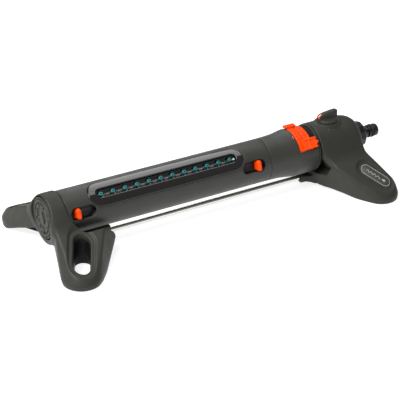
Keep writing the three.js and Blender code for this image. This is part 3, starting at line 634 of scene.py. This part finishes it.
end_cap()
turned("rim_band", [(132.9, 27.2), (132.9, 29.2), (133.4, 29.5), (135.0, 29.5), (135.4, 28.6), (136.0, 28.4),
                    (136.0, 27.2)],
       "base", "body", ["rim_ring"], radius=0.25, closed=True, segments=128)
# The collar is black plastic. Its near-black colour adds painted shade for the groove it sits in.
turned("collar", [
    (126.7, 25.7), (126.7, 27.9), (127.3, 27.9), (127.8, 27.1), (132.0, 27.1), (132.4, 27.5), (132.4, 26.6),
    (149.9, 26.6), (149.9, 25.2), (133, 25.2), (133, 24.4), (131.7, 24.4), (131.7, 25.7),
], "base", "black", ["groove_collar"], radius=0.2, closed=True, segments=128, material=PAINTED_SHADE_BLACK)
turned("crossbar", [
    (-195.9, 0), (-195.9, 3.35), (157.9, 3.35), (157.9, 0),
], "base", "bar_metal", ["cross_bar"], radius=0.8, segments=48, centre=(0, 0, BAR_Z))
turned("nipple", [
    (203.6, 4.7), (203.6, 6.3), (207.9, 6.3), (207.9, 8.7), (213.0, 8.7), (214.6, 6.3), (219.6, 5.3),
    (222.9, 5.7), (223.3, 8.0), (226.5, 8.0), (226.8, 6.4), (230.2, 6.4), (230.5, 7.9), (234.4, 7.9),
    (236.2, 7.6), (237.1, 6.6), (237.1, 4.7),
], "base", "black", ["hose_nipple"], radius=[.3, .3, .3, .4, .5, 2, 4, 1, .6, .6, .4, .4, .5, 1, 1, .5, .3],
       closed=True, segments=72)
turned("nipple_seal", [(228.5 + 1.15 * math.cos(t), 7.35 + 1.15 * math.sin(t))
                       for t in np.arange(12) * math.pi / 6],
       "base", "rubber", ["nipple_oring"], radius=0, closed=True, segments=72)

WINGS = 12      # finger grips round the union nut


def union_nut():
    f = Field((201.4, -18, 29), (214.2, 18, 65), 0.5)
    out = np.sqrt(f.y ** 2 + (f.z - AXIS) ** 2)
    turn = np.arctan2(f.z - AXIS, f.y)
    grip = 0.7 * np.clip(np.cos(WINGS * turn), -0.6, 0.6)
    taper = np.interp(f.x, [202.4, 203.6, 211.6, 213.0], [14.6, 15.6, 15.4, 14.2]).astype(np.float32)
    values = smooth_max(out - taper - f.full(grip), slab(f.x, 202.5, 213.0), 1.0)
    values = smooth_max(values, -f.full(np.maximum(out - 12.2, 211.4 - f.x)), 0.7)
    values = smooth_max(values, -(out - 9.3), 0.6)
    return solid("union_collar", f, values, "base", "black")


union_nut()


def drop_outline(scale, count=40):
    """A water drop in the plane, tip up, about its round centre."""
    points = []
    for k in range(count):
        t = 2 * math.pi * k / count
        stretch = 1 + 0.95 * max(0, math.sin(t)) ** 5
        narrow = 1 - 0.42 * max(0, math.sin(t)) ** 2
        points.append((scale * math.cos(t) * narrow, scale * math.sin(t) * stretch))
    return points


def raised(name, outline, place, height, body, slot, stands_for=(), material=None, soft=0.25):
    """A low relief from a plane outline: (u, v, h) points go through place. Its top edge is rounded."""
    outline = np.array(outline, float)
    middle = outline.mean(0)
    reach = np.linalg.norm(outline - middle, axis=1).mean()
    rings = [(1.0, -0.3), (1.0, height - soft), (1 - 0.3 * soft / reach, height - 0.3 * soft),
             (1 - soft / reach, height)]
    verts, faces, n = [], [], len(outline)
    for scale, h in rings:
        flat = middle + (outline - middle) * scale
        verts += [(p[0], p[1], h) for p in flat]
    faces += ring_faces(0, n, len(rings))
    verts += [(*middle, height), (*middle, -0.3)]
    last = (len(rings) - 1) * n
    for k in range(n):
        m = (k + 1) % n
        faces.append((last + k, last + m, len(verts) - 2))
        faces.append((m, k, len(verts) - 1))
    verts, faces = outward(place(np.array(verts)), faces)
    return piece(name, verts, faces, body, slot, stands_for, material, 50)


raised("cap_drop", drop_outline(5.4), lambda p: np.stack([-223.9 - p[:, 2], p[:, 0], AXIS - 2 + p[:, 1]], 1),
       1.3, "base", "body")

# ---------------------------------------------------------------- the spray tube
PUSH = 0.45             # rounding of the edges cut into the tube
SLIDER_LEAN = 38.0      # degrees from the nozzle line to the line of the width sliders
POCKET_OUT = 113.0      # from the middle of the row to the middle of each slider pocket


def stadium(length, width, count=14, grow=0.0):
    """Outline and outward normals of a slot shape about the origin, along x."""
    r, half = width / 2 + grow, (length - width) / 2
    points, normals = [], []
    for side, start in ((1, -90), (-1, 90)):
        for k in range(count + 1):
            t = math.radians(start + 180 * k / count)
            points.append((side * half + r * math.cos(t), r * math.sin(t)))
            normals.append((math.cos(t), math.sin(t)))
    dense, dense_normals = [], []
    for k, here in enumerate(points):
        after = points[(k + 1) % len(points)]
        gap = math.dist(here, after)
        parts = max(1, round(gap / 4))
        for m in range(parts):
            s = m / parts
            dense.append((here[0] + s * (after[0] - here[0]), here[1] + s * (after[1] - here[1])))
            a, b = normals[k], normals[(k + 1) % len(points)]
            dense_normals.append(((1 - s) * a[0] + s * b[0], (1 - s) * a[1] + s * b[1]))
    return np.array(dense), np.array(dense_normals)


def sheet_faces(loops, low, high, step, wrap):
    """Triangles of the (x, degrees) plane between low and high, without the insides of the closed loops."""
    verts, edges = [], []
    for loop in loops:
        start, n = len(verts), len(loop)
        verts += [tuple(p) for p in loop]
        edges += [(start + k, start + (k + 1) % n) for k in range(n)]
    columns = np.linspace(low[0], high[0], max(2, int(round((high[0] - low[0]) / step[0])) + 1))
    rows = np.linspace(low[1], high[1], int(round((high[1] - low[1]) / step[1])) + 1)

    def blocked(px, pa):
        for loop in loops:
            d = np.array(loop) - (px, pa)
            d[:, 1] *= wrap
            if (d ** 2).sum(1).min() < 1.0:
                return True
            if winding(loop, px, pa):
                return True
        return False
    for cx in columns:
        for ra in rows:
            if not blocked(cx, ra):
                verts.append((cx, ra))
    flat = [Vector((p[0], p[1] * wrap)) for p in verts]
    made = geometry.delaunay_2d_cdt(flat, edges, [], 0, 1e-6)
    spots, tris = made[0], made[2]
    out = []
    for tri in tris:
        cx = sum(spots[i].x for i in tri) / len(tri)
        cy = sum(spots[i].y for i in tri) / len(tri) / wrap
        if not any(winding(loop, cx, cy) for loop in loops):
            out.append(tri)
    return [(p.x, p.y / wrap) for p in spots], out


def winding(loop, px, py):
    loop = np.asarray(loop)
    after = np.roll(loop, -1, axis=0)
    spans = (loop[:, 1] > py) != (after[:, 1] > py)
    rise = np.where(spans, after[:, 1] - loop[:, 1], 1)
    return bool((spans & (px < (after[:, 0] - loop[:, 0]) * (py - loop[:, 1]) / rise + loop[:, 0])).sum() % 2)


def to_polar(points, radius, lean=0.0, x=0.0):
    """Plane points seen straight down onto the tube, as (x, degrees from the nozzle line)."""
    return np.stack([points[:, 0] + x, lean - np.degrees(np.arcsin(-points[:, 1] / radius))], 1)


def wrapped(points, radius):
    """(x, degrees) on a cylinder, in the tube's own frame. Positive degrees go towards -Y."""
    points = np.asarray(points, float)
    t = np.radians(points[:, 1])
    radius = np.broadcast_to(radius, len(points))
    return np.stack([points[:, 0], -radius * np.sin(t), radius * np.cos(t)], 1)


def welded(obj):
    """Joins corners that meet, turns the faces outwards and shades the piece smooth."""
    bm = bmesh.new()
    bm.from_mesh(obj.data)
    bmesh.ops.remove_doubles(bm, verts=bm.verts, dist=0.02 * MM)
    bmesh.ops.recalc_face_normals(bm, faces=bm.faces)
    bm.to_mesh(obj.data)
    bm.free()
    obj.data.polygons.foreach_set("use_smooth", [True] * len(obj.data.polygons))
    obj.data.set_sharp_from_angle(angle=math.radians(40))
    return obj


def tube_shell():
    x0, x1, inner = -203.7, 65.75, TUBE_R - 2.2
    holes = [(ROW_MIDDLE, 205.1, 31.2, 0.0)]
    holes += [(ROW_MIDDLE + side * POCKET_OUT, 32, 15, SLIDER_LEAN) for side in (-1, 1)]
    outer_loops, rings = [], []
    for x, length, width, lean in holes:
        steps = []
        for phi in (0, 30, 60, 90):
            t = math.radians(phi)
            points, _ = stadium(length, width, grow=PUSH * (1 - math.sin(t)))
            steps.append(wrapped(to_polar(-points, TUBE_R, lean, x), TUBE_R - PUSH * (1 - math.cos(t))))
        points, _ = stadium(length, width)
        steps.append(wrapped(to_polar(-points, TUBE_R, lean, x), inner))
        rings.append(steps)
        first, _ = stadium(length, width, grow=PUSH)
        outer_loops.append(to_polar(-first, TUBE_R, lean, x))
    flat_x0, flat_x1 = x0 + PUSH, x1 - PUSH
    spots, tris = sheet_faces(outer_loops, (flat_x0, -180), (flat_x1, 180), (4.2, 5.625), 0.46)
    verts = list(wrapped(spots, TUBE_R))
    faces = [tuple(t) for t in tris]
    for steps in rings:
        faces += ring_faces(len(verts), len(steps[0]), len(steps))
        for ring in steps:
            verts += list(ring)
    count = 64
    for end, side in ((flat_x0, -1), (flat_x1, 1)):
        profile = [(end, TUBE_R)] + [(end + side * PUSH * math.sin(math.radians(p)),
                                      TUBE_R - PUSH * (1 - math.cos(math.radians(p)))) for p in (30, 60, 90)]
        profile.append((end + side * PUSH, inner))
        faces += ring_faces(len(verts), count, len(profile))
        for px, pr in profile:
            verts += list(wrapped([(px, -180 + 360 * k / count) for k in range(count)], pr))
    spots, tris = sheet_faces([to_polar(-stadium(l, w)[0], TUBE_R, a, x) for x, l, w, a in holes],
                              (x0, -180), (x1, 180), (7, 11.25), 0.46)
    start = len(verts)
    verts += list(wrapped(spots, inner))
    faces += [tuple(start + i for i in t) for t in tris]
    return welded(piece("tube", on_tube(verts), faces, "spray_tube", "shell", ["tube_shell"]))


tube_shell()


def bezel():
    """The glossy strip, worked out flat and then bent round the tube."""
    step = 0.45
    f = Field((ROW_MIDDLE - 103.6, -17.6, -2.8), (ROW_MIDDLE + 103.6, 17.6, 1.0), step)
    across = TUBE_R * np.sin(f.y / TUBE_R)
    half = (204.5 - 30.6) / 2
    rim = np.sqrt(np.maximum(np.abs(f.x - ROW_MIDDLE) - half, 0) ** 2 + across ** 2) - 15.3
    half = (185 - 11.4) / 2
    slot = np.sqrt(np.maximum(np.abs(f.x - ROW_MIDDLE) - half, 0) ** 2 + across ** 2) - 5.7
    plate = smooth_max(f.full(rim), slab(f.z, -2.2, 0.2), 0.7)
    values = smooth_max(plate, -f.full(slot), 1.1)
    verts, quads = surface(f, values)
    bent = wrapped(np.stack([verts[:, 0], -np.degrees(verts[:, 1] / TUBE_R)], 1), TUBE_R + verts[:, 2])
    return piece("bezel", on_tube(bent), quads, "spray_tube", "gloss", ["nozzle_bezel"])


bezel()

ROW = [(ROW_MIDDLE + (i - 5.5) * 15.2, 10.0 * (i - 5.5) / 5.5) for i in range(12)]
PIVOT, TIP = 13.2, 24.6


def cradle():
    """The strip under the slot: a shallow V with a round cup for each nozzle."""
    step = 0.4
    f = Field((ROW_MIDDLE - 93, -6.2, 15), (ROW_MIDDLE + 93, 6.2, 25), step)
    half = (184.4 - 10.8) / 2
    rim = np.sqrt(np.maximum(np.abs(f.x - ROW_MIDDLE) - half, 0) ** 2 + f.y ** 2)
    top = 21.2 + 0.62 * np.maximum(rim - 1.2, 0)
    values = np.maximum(rim - 5.25, f.z - np.minimum(top, 24.0))
    values = np.maximum(values, 15.4 - f.z)
    values = f.full(values)
    for x, tilt in ROW:
        shift = 0.5 * (TIP - PIVOT) * math.tan(math.radians(tilt))
        cup = np.maximum(np.sqrt((f.x - x - shift) ** 2 + f.y ** 2) - 4.3, 18.5 - f.z)
        values = smooth_max(values, -f.full(cup), 0.5)
    return solid("cradle", f, values, "spray_tube", "gloss", ["nozzle_cradle"], place=on_tube)


cradle()

NOZZLE_PROFILE = [
    (-3.0, 0), (-2.8, 1.4), (-1.6, 2.6), (0, 2.9), (1.6, 2.4), (2.6, 2.1), (7.6, 1.95), (8.5, 2.2),
    (9.0, 2.75), (10.6, 2.75), (11.2, 2.3), (11.35, 1.5), (11.35, 0.95), (9.6, 0.75), (9.6, 0),
]


def nozzle(i, x, tilt):
    verts, faces = lathe(fillet(NOZZLE_PROFILE, 0.35, steps=3), 32)
    up = np.stack([verts[:, 1], verts[:, 2], verts[:, 0]], 1)
    c, s = math.cos(math.radians(tilt)), math.sin(math.radians(tilt))
    leaned = np.stack([c * up[:, 0] + s * up[:, 2] + x, up[:, 1], -s * up[:, 0] + c * up[:, 2] + PIVOT], 1)
    verts, faces = outward(on_tube(leaned), faces)
    name = f"nozzle_{i + 1:02d}"
    return piece(f"jet_{i + 1:02d}", verts, faces, f"nozzle_body_{i + 1:02d}", "teal", [name], sharp=60)


for number, (row_x, row_tilt) in enumerate(ROW):
    nozzle(number, row_x, row_tilt)

# ---------------------------------------------------------------- spray width sliders


def slider(side):
    """Pocket and thumb knob. side is -1 at the left and 1 at the right."""
    middle = ROW_MIDDLE + side * POCKET_OUT
    step = 0.4
    f = Field((middle - 18.6, -10, 17), (middle + 18.6, 10, 27), step)
    across = np.sqrt(np.maximum(np.abs(f.x - middle) - 8.5, 0) ** 2 + f.y ** 2)
    tray = smooth_max(across - 8.7, slab(f.z, 17.6, 22.1), 0.5)
    tray = smooth_max(f.full(tray), -f.full(np.maximum(across - 7.5, 19.1 - f.z)), 0.8)
    ways = np.maximum(np.abs(f.y) - 1.7, slab(-side * f.x, -side * middle, -side * middle + 30))
    tray = smooth_max(tray, -f.full(np.maximum(ways, 19.1 - f.z)), 0.4)
    end = "left" if side < 0 else "right"
    solid(f"pocket_{end}", f, tray, "spray_tube", "black", [f"slider_pocket_{end}"],
          place=lambda p: on_tube(p, SLIDER_LEAN))
    knob_x = ROW_MIDDLE + side * 119.5
    f = Field((knob_x - 7.5, -8.5, 18.6), (knob_x + 7.5, 8.5, 30.6), 0.35)
    oval = capsule2(f.x, f.y, (knob_x, -3.7), (knob_x, 3.7), 2.75)
    knob = smooth_max(oval + 0.06 * (f.z - 25), slab(f.z, 19.5, 29.6), 2.4)
    foot = smooth_max(np.maximum(np.abs(f.x - knob_x) - 3.2, np.abs(f.y) - 4.6), slab(f.z, 19.5, 20.8), 0.5)
    values = smooth_min(f.full(knob), f.full(foot), 1.2)
    solid(f"thumb_{end}", f, values, f"slider_{end}", "orange", [f"width_slider_{end}"],
          place=lambda p: on_tube(p, SLIDER_LEAN))
    near, far = sorted((knob_x, knob_x - side * 99))
    f = Field((near - 1, -2, 18.8), (far + 1, 2, 22), 0.5)
    bar = np.maximum(np.abs(f.y) - 1.1, slab(-side * (f.x - knob_x), 24.5, 98))
    values = smooth_max(f.full(bar), f.full(slab(f.z, 19.5, 21.1)), 0.4)
    solid(f"rail_{end}", f, values, f"slider_{end}", "black", place=lambda p: on_tube(p, SLIDER_LEAN))


slider(-1)
slider(1)

# ---------------------------------------------------------------- adapter and range stops
WINDOW = (-115.0, 32.0)     # the sleeve's window, in degrees from the nozzle line, plus towards -Y


def adapter():
    """The flared cone, and the sleeve that covers the stop rings apart from a window at the top."""
    cone = fillet([(66.25, 24.4), (66.25, 26.1), (66.7, 26.5), (78, 26.75), (84, 27.05), (90, 27.65),
                   (95, 28.4), (99.5, 29.2), (103.2, 29.72), (105.0, 29.76)], 2.0, steps=3)
    seat = [(105.7, 27.95), (125.9, 27.95), (125.9, 24.4)]
    bare = [(105.45, 29.62), (105.7, 29.3)]
    covered = [(131.9, 29.76), (132.25, 29.65), (132.35, 29.3), (132.35, 29.05), (105.7, 29.05)]
    verts, faces = [], []

    def span(profile, start, end):
        angles = np.linspace(start, end, int((end - start) / 3) + 1)
        base, n = len(verts), len(profile)
        for angle in angles:
            verts.extend(wrapped([(x, angle) for x, _ in profile], [r for _, r in profile]))
        for a in range(len(angles) - 1):
            for k in range(n):
                m = (k + 1) % n
                faces.append((base + a * n + k, base + (a + 1) * n + k,
                              base + (a + 1) * n + m, base + a * n + m))
    span([tuple(p) for p in cone] + bare + seat, *WINDOW)
    span([tuple(p) for p in cone] + covered + seat, WINDOW[1], WINDOW[0] + 360)
    for angle in WINDOW:
        wall = [tuple(cone[-1])] + covered + [seat[0]] + bare[::-1]
        faces.append(tuple(range(len(verts), len(verts) + len(wall))))
        verts.extend(wrapped([(x, angle) for x, _ in wall], [r for _, r in wall]))
    return welded(piece("adapter", on_tube(verts), faces, "spray_tube", "shell", ["tube_adapter"]))


adapter()


def range_stop(name, x0, lean, ribs, tab, body, node):
    """An orange ring with finger ribs that turns on the adapter, and its thumb tab."""
    f = Field((x0 - 6, -36, -36), (x0 + 19, 36, 36), 0.4)
    out = np.sqrt(f.y ** 2 + f.z ** 2)
    turn = np.degrees(np.arctan2(-f.y, f.z)) + lean
    ring = smooth_max(np.maximum(out - 28.95, 28.15 - out), slab(f.x, x0 + 0.1, x0 + 9.3), 0.3)
    off = np.abs((turn / RIB_STEP) % 1 - 0.5) * RIB_STEP * math.radians(29)
    rib = np.maximum(np.maximum(off - 0.85, np.abs(turn - sum(ribs) / 2) * 0.5 - (ribs[1] - ribs[0]) / 4),
                     np.maximum(out - 29.75, 28.3 - out))
    rib = smooth_max(f.full(rib), f.full(slab(f.x, x0 + 0.8, x0 + 8.6)), 0.5)
    values = smooth_min(f.full(ring), rib, 0.4)
    values = smooth_min(values, f.full(tab(f)), 0.8)
    solid(name, f, values, body, "orange", [node], place=lambda p: on_tube(p, lean))


RIB_STEP = 7.5      # degrees


def tab_a(f):
    """A tab with a raised bar along its far edge, and a wing at each end."""
    top = 32.7 + 1.1 * (np.abs(f.y - 1.6) < 1.5)
    wings = smooth_max(np.maximum(slab(f.x, 104.0, 119.0), np.abs(f.y) - 3.4), slab(f.z, 30.6, top), 0.5)
    stem = np.maximum(np.maximum(slab(f.x, 106.2, 115.3), np.abs(f.y) - 3.1), slab(f.z, 28.4, 32))
    return np.minimum(wings, stem)


def tab_b(f):
    """A broad tab with a raised bar at both edges, a step across it and a pointer towards the housing."""
    top = 32.3 + 1.0 * (np.abs(np.abs(f.y) - 5.4) < 1.2) + 0.5 * (np.abs(f.x - 120.5) < 1.2)
    plate = smooth_max(np.maximum(slab(f.x, 111.1, 129.8), np.abs(f.y) - 6.75), slab(f.z, 30.6, top), 0.5)
    arrow = np.maximum(np.maximum(f.x + 1.15 * np.abs(f.y) - 132.8, 128 - f.x), slab(f.z, 30.6, 33.1))
    stem = np.maximum(np.maximum(slab(f.x, 115.9, 125.1), np.abs(f.y) - 6.7), slab(f.z, 28.3, 32))
    return np.minimum(np.minimum(plate, arrow), stem)


range_stop("stop_ring_a", 106.0, -50.0, (-42.5, 2.5), tab_a, "stop_a", "range_stop_a")
range_stop("stop_ring_b", 115.8, 17.0, (-50.0, -5.0), tab_b, "stop_b", "range_stop_b")

# ---------------------------------------------------------------- flow knob


def flow_knob():
    f = Field((145.5, -14.5, 75.6), (177.5, 14.5, 91.4), 0.4)
    x, y, z = f.x - 162, f.y, f.z
    out = np.sqrt(x ** 2 + y ** 2)
    disc = smooth_max(out - np.interp(z, [77, 79, 81.5], [12.7, 12.7, 10.8]).astype(np.float32),
                      slab(z, 77.2, 80.6), 1.0)
    top = np.interp(x, [-13.6, -11.6, -5, 9, 13], [84.2, 86.6, 88.3, 89.9, 89.6]).astype(np.float32)
    side = 3.5 - 0.0035 * (x + 2) ** 2
    fin = smooth_max(np.maximum(np.abs(y) - side, slab(x, -13.4, 13.0)),
                     f.full(np.maximum(z - top, 78 - z)), 1.0)
    values = smooth_min(f.full(disc), f.full(fin), 2.6)
    values = np.maximum(values, np.maximum(x - 13.1, -13.5 - x))
    inlay = np.maximum(np.abs(y) - 2.0, np.maximum(x + 8.0, 81.4 - z))
    values = smooth_max(values, -f.full(inlay), 0.4)
    solid("knob", f, values, "knob", "body", ["flow_knob"])
    point = smooth_max(np.maximum(np.abs(y) - 1.75, np.maximum(x + 8.3, 81.7 - z)),
                       f.full(np.maximum(z - top + 0.5, -12.9 - x)), 0.8)
    solid("knob_inlay", f, f.full(point), "knob", "orange", ["knob_pointer"])
    line = smooth_max(np.maximum(np.abs(y) - 0.55, np.maximum(x + 8.9, 84.0 - z)),
                      f.full(np.maximum(z - top + 0.25, -13.1 - x)), 0.3)
    solid("knob_inlay_line", f, f.full(line), "knob", "white")


flow_knob()

# ---------------------------------------------------------------- badges and marks


def to_side(side, x, v):
    """X and Y of points of a front leg at (x, v), on the front for side -1 or on the rear for side 1."""
    if side > 0:
        x = x + REAR["shift"] * np.maximum(0, v - 20) / 60
        v = v * REAR["reach"]
    return x, side * v


def on_leg(side, sunk):
    """Puts (x, v, h) points onto a leg's sloping top, h above a floor sunk below it."""
    def place(p):
        x, v = p[:, 0], p[:, 1]
        z = LEG_TOP - LEG_FALL * v - sunk * math.hypot(1, LEG_FALL) + p[:, 2]
        if side > 0:
            z = z + REAR["lift"] * np.minimum(1, v / 60)
        x, y = to_side(side, x, v)
        return np.stack([x, y, z], 1)
    return place


def along_slot(foot):
    """The distance between a slot's two centres, and a function that lays (u, v) points along it."""
    (ax, ay), (bx, by) = foot["slot"]
    turn = math.atan2(by - ay, bx - ax)
    c, s = math.cos(turn), math.sin(turn)

    def across(points):
        return [((ax + bx) / 2 + c * u - s * v, (ay + by) / 2 + s * u + c * v) for u, v in points]
    return math.dist((ax, ay), (bx, by)), across


def badge(side):
    """A badge plate with a rim, a wave line and a drop printed on it."""
    end = "front" if side < 0 else "rear"
    length, across = along_slot(RIGHT)
    outline, _ = stadium(length + 15.2, 15.2, count=18)
    raised(f"badge_plate_{end}", across(outline), on_leg(side, 1.7), 0.9, "base", "badge",
           [f"badge_{end}"], soft=0.35)
    rim, _ = stadium(length + 14.0, 14.0, count=18)
    inner, _ = stadium(length + 13.1, 13.1, count=18)
    band(f"badge_rim_{end}", across(rim), across(inner), on_leg(side, 0.75), 0.25, PRINT)
    us = np.linspace(-11.5, 6.5, 48)
    vs = 1.1 * np.sin(us * 1.4)
    wave = list(zip(us, vs + 0.5)) + list(zip(us[::-1], vs[::-1] - 0.5))
    strip(f"badge_wave_{end}", across(wave), on_leg(side, 0.75), 0.25, PRINT)
    drop = [(11.2 - 0.8 * v, 0.8 * u) for u, v in drop_outline(2.1, 28)]
    raised(f"badge_drop_{end}", across(drop), on_leg(side, 0.75), 0.3, "base", "badge", material=PRINT,
           soft=0.1)


def band(name, outer, inner, place, height, material):
    """A thin raised line between two outlines with the same number of points."""
    n = len(outer)
    loops = ((outer, -0.2), (outer, height), (inner, height), (inner, -0.2))
    verts = [(*p, h) for loop, h in loops for p in loop]
    verts, faces = outward(place(np.array(verts)), ring_faces(0, n, 4, around=True))
    return piece(name, verts, faces, "base", "badge", (), material, 50)


def strip(name, outline, place, height, material):
    """A thin raised ribbon. The outline's second half runs back beside its first."""
    n = len(outline) // 2
    top = [(*p, height) for p in outline]
    low = [(*p, -0.2) for p in outline]
    verts = top + low
    m = 2 * n
    faces = [(k, k + 1, m - 2 - k, m - 1 - k) for k in range(n - 1)]
    faces += [(m + m - 1 - k, m + m - 2 - k, m + k + 1, m + k) for k in range(n - 1)]
    faces += [(k, m + k, m + (k + 1) % m, (k + 1) % m) for k in range(m)]
    verts, faces = outward(place(np.array(verts)), faces)
    return piece(name, verts, faces, "base", "badge", (), material, 50)


badge(-1)
badge(1)


def shade_the_peg_slot(side):
    """A thin near-black sleeve inside a peg slot: painted shade that darkens the slot's inside."""
    length, across = along_slot(LEFT)
    width = 2 * LEFT["slot_r"]
    rows = []
    for grow, top in ((-0.05, False), (-0.05, True), (-0.6, True), (-0.6, False)):
        outline, _ = stadium(length + width, width, count=20, grow=grow)
        flat = np.array(across(outline))
        height = LEG_TOP - LEG_FALL * flat[:, 1] - 8.5 if top else np.full(len(flat), 1.2)
        rows.append(np.column_stack([flat, height]))
    n = len(rows[0])
    verts = np.concatenate(rows)
    verts[:, 0], verts[:, 1] = to_side(side, verts[:, 0], verts[:, 1])
    verts, faces = outward(verts, ring_faces(0, n, len(rows), around=True))
    end = "front" if side < 0 else "rear"
    piece(f"peg_slot_painted_shade_{end}", verts, faces, "base", "black", (), PAINTED_SHADE_BLACK, 50)


# Painted shade: a near-black sheet inside each peg slot.
shade_the_peg_slot(-1)
shade_the_peg_slot(1)


def on_drum(x, degrees, radius, turn=0.0):
    """Puts (u, v, h) points on the housing. u runs along X and v up round the drum."""
    c, s = math.cos(math.radians(turn)), math.sin(math.radians(turn))

    def place(p):
        u, v = c * p[:, 0] - s * p[:, 1], s * p[:, 0] + c * p[:, 1]
        t = math.radians(degrees) + v / radius
        r = radius + p[:, 2]
        return np.stack([x + u, r * np.cos(t) * -1, AXIS + r * np.sin(t)], 1)
    return place


raised("range_mark", [(-0.9, -1.6), (0.9, -1.6), (0.9, 1.6), (-0.9, 1.6)],
       lambda p: on_tube(wrapped(np.stack([103.4 + p[:, 0], p[:, 1] / 0.52 - 8], 1), 29.65 + p[:, 2])), 0.3,
       "spray_tube", "orange", soft=0.1)
raised("flow_mark_small", drop_outline(1.1, 24), on_drum(154.6, 59.5, 29.8), 0.3, "base", "body",
       material=MARK, soft=0.12)
raised("flow_mark_large", drop_outline(1.7, 24), on_drum(160.6, 57.0, 29.8), 0.3, "base", "body",
       material=MARK, soft=0.12)

# ---------------------------------------------------------------- camera, floor and light
scene = bpy.context.scene
camera = bpy.data.objects.new("camera", bpy.data.cameras.new("camera"))
scene.collection.objects.link(camera)
camera.data.sensor_width = 36.0
camera.data.lens = 138.85
camera.data.dof.use_dof = False
camera.data.clip_start, camera.data.clip_end = 0.1, 20
TARGET = Vector((-18.7, 0, 14.4)) * MM
camera.location = Vector((-831.6, -1408.0, 897.2)) * MM
camera.rotation_mode = "QUATERNION"
camera.rotation_quaternion = (TARGET - camera.location).to_track_quat("-Z", "Y")
scene.camera = camera
scene.view_settings.view_transform = "Standard"
scene.view_settings.look = "None"

floor_mesh = bpy.data.meshes.new("floor")
floor_mesh.from_pydata([(-6, -6, 0), (6, -6, 0), (6, 6, 0), (-6, 6, 0)], [], [(0, 1, 2, 3)])
floor = bpy.data.objects.new("floor", floor_mesh)
floor.location.z = -0.0004
scene.collection.objects.link(floor)
floor_mat, floor_tree, floor_shader = nodes_of("floor_white")
floor_shader.inputs["Base Color"].default_value = grey(0.45)
floor_shader.inputs["Emission Color"].default_value = grey(1.0)
floor_shader.inputs["Emission Strength"].default_value = 0.82
floor_shader.inputs["Roughness"].default_value = 0.9
floor_shader.inputs["Specular IOR Level"].default_value = 0.1
floor_mesh.materials.append(floor_mat)

world = bpy.data.worlds.new("studio")
scene.world = world
world.use_nodes = True
world.node_tree.nodes["Background"].inputs["Color"].default_value = grey(1.0)
world.node_tree.nodes["Background"].inputs["Strength"].default_value = 0.26


def softbox(name, place, tilt, size, power):
    """A soft rectangular light, facing down and then tilted about X and Y, in degrees."""
    data = bpy.data.lights.new(name, "AREA")
    data.shape = "RECTANGLE"
    data.size, data.size_y = size
    data.energy = power
    lamp = bpy.data.objects.new(name, data)
    lamp.location = place
    lamp.rotation_euler = [math.radians(t) for t in (*tilt, 0)]
    scene.collection.objects.link(lamp)


softbox("strip_light", (0.61, 0.72, 1.3), (-29, 12), (0.44, 2.5), 9)
softbox("top_light", (-1.05, -0.1, 1.45), (4, -35), (1.0, 1.2), 43)
softbox("front_light", (-1.5, -0.9, 0.9), (40, -54), (0.8, 0.8), 3.5)
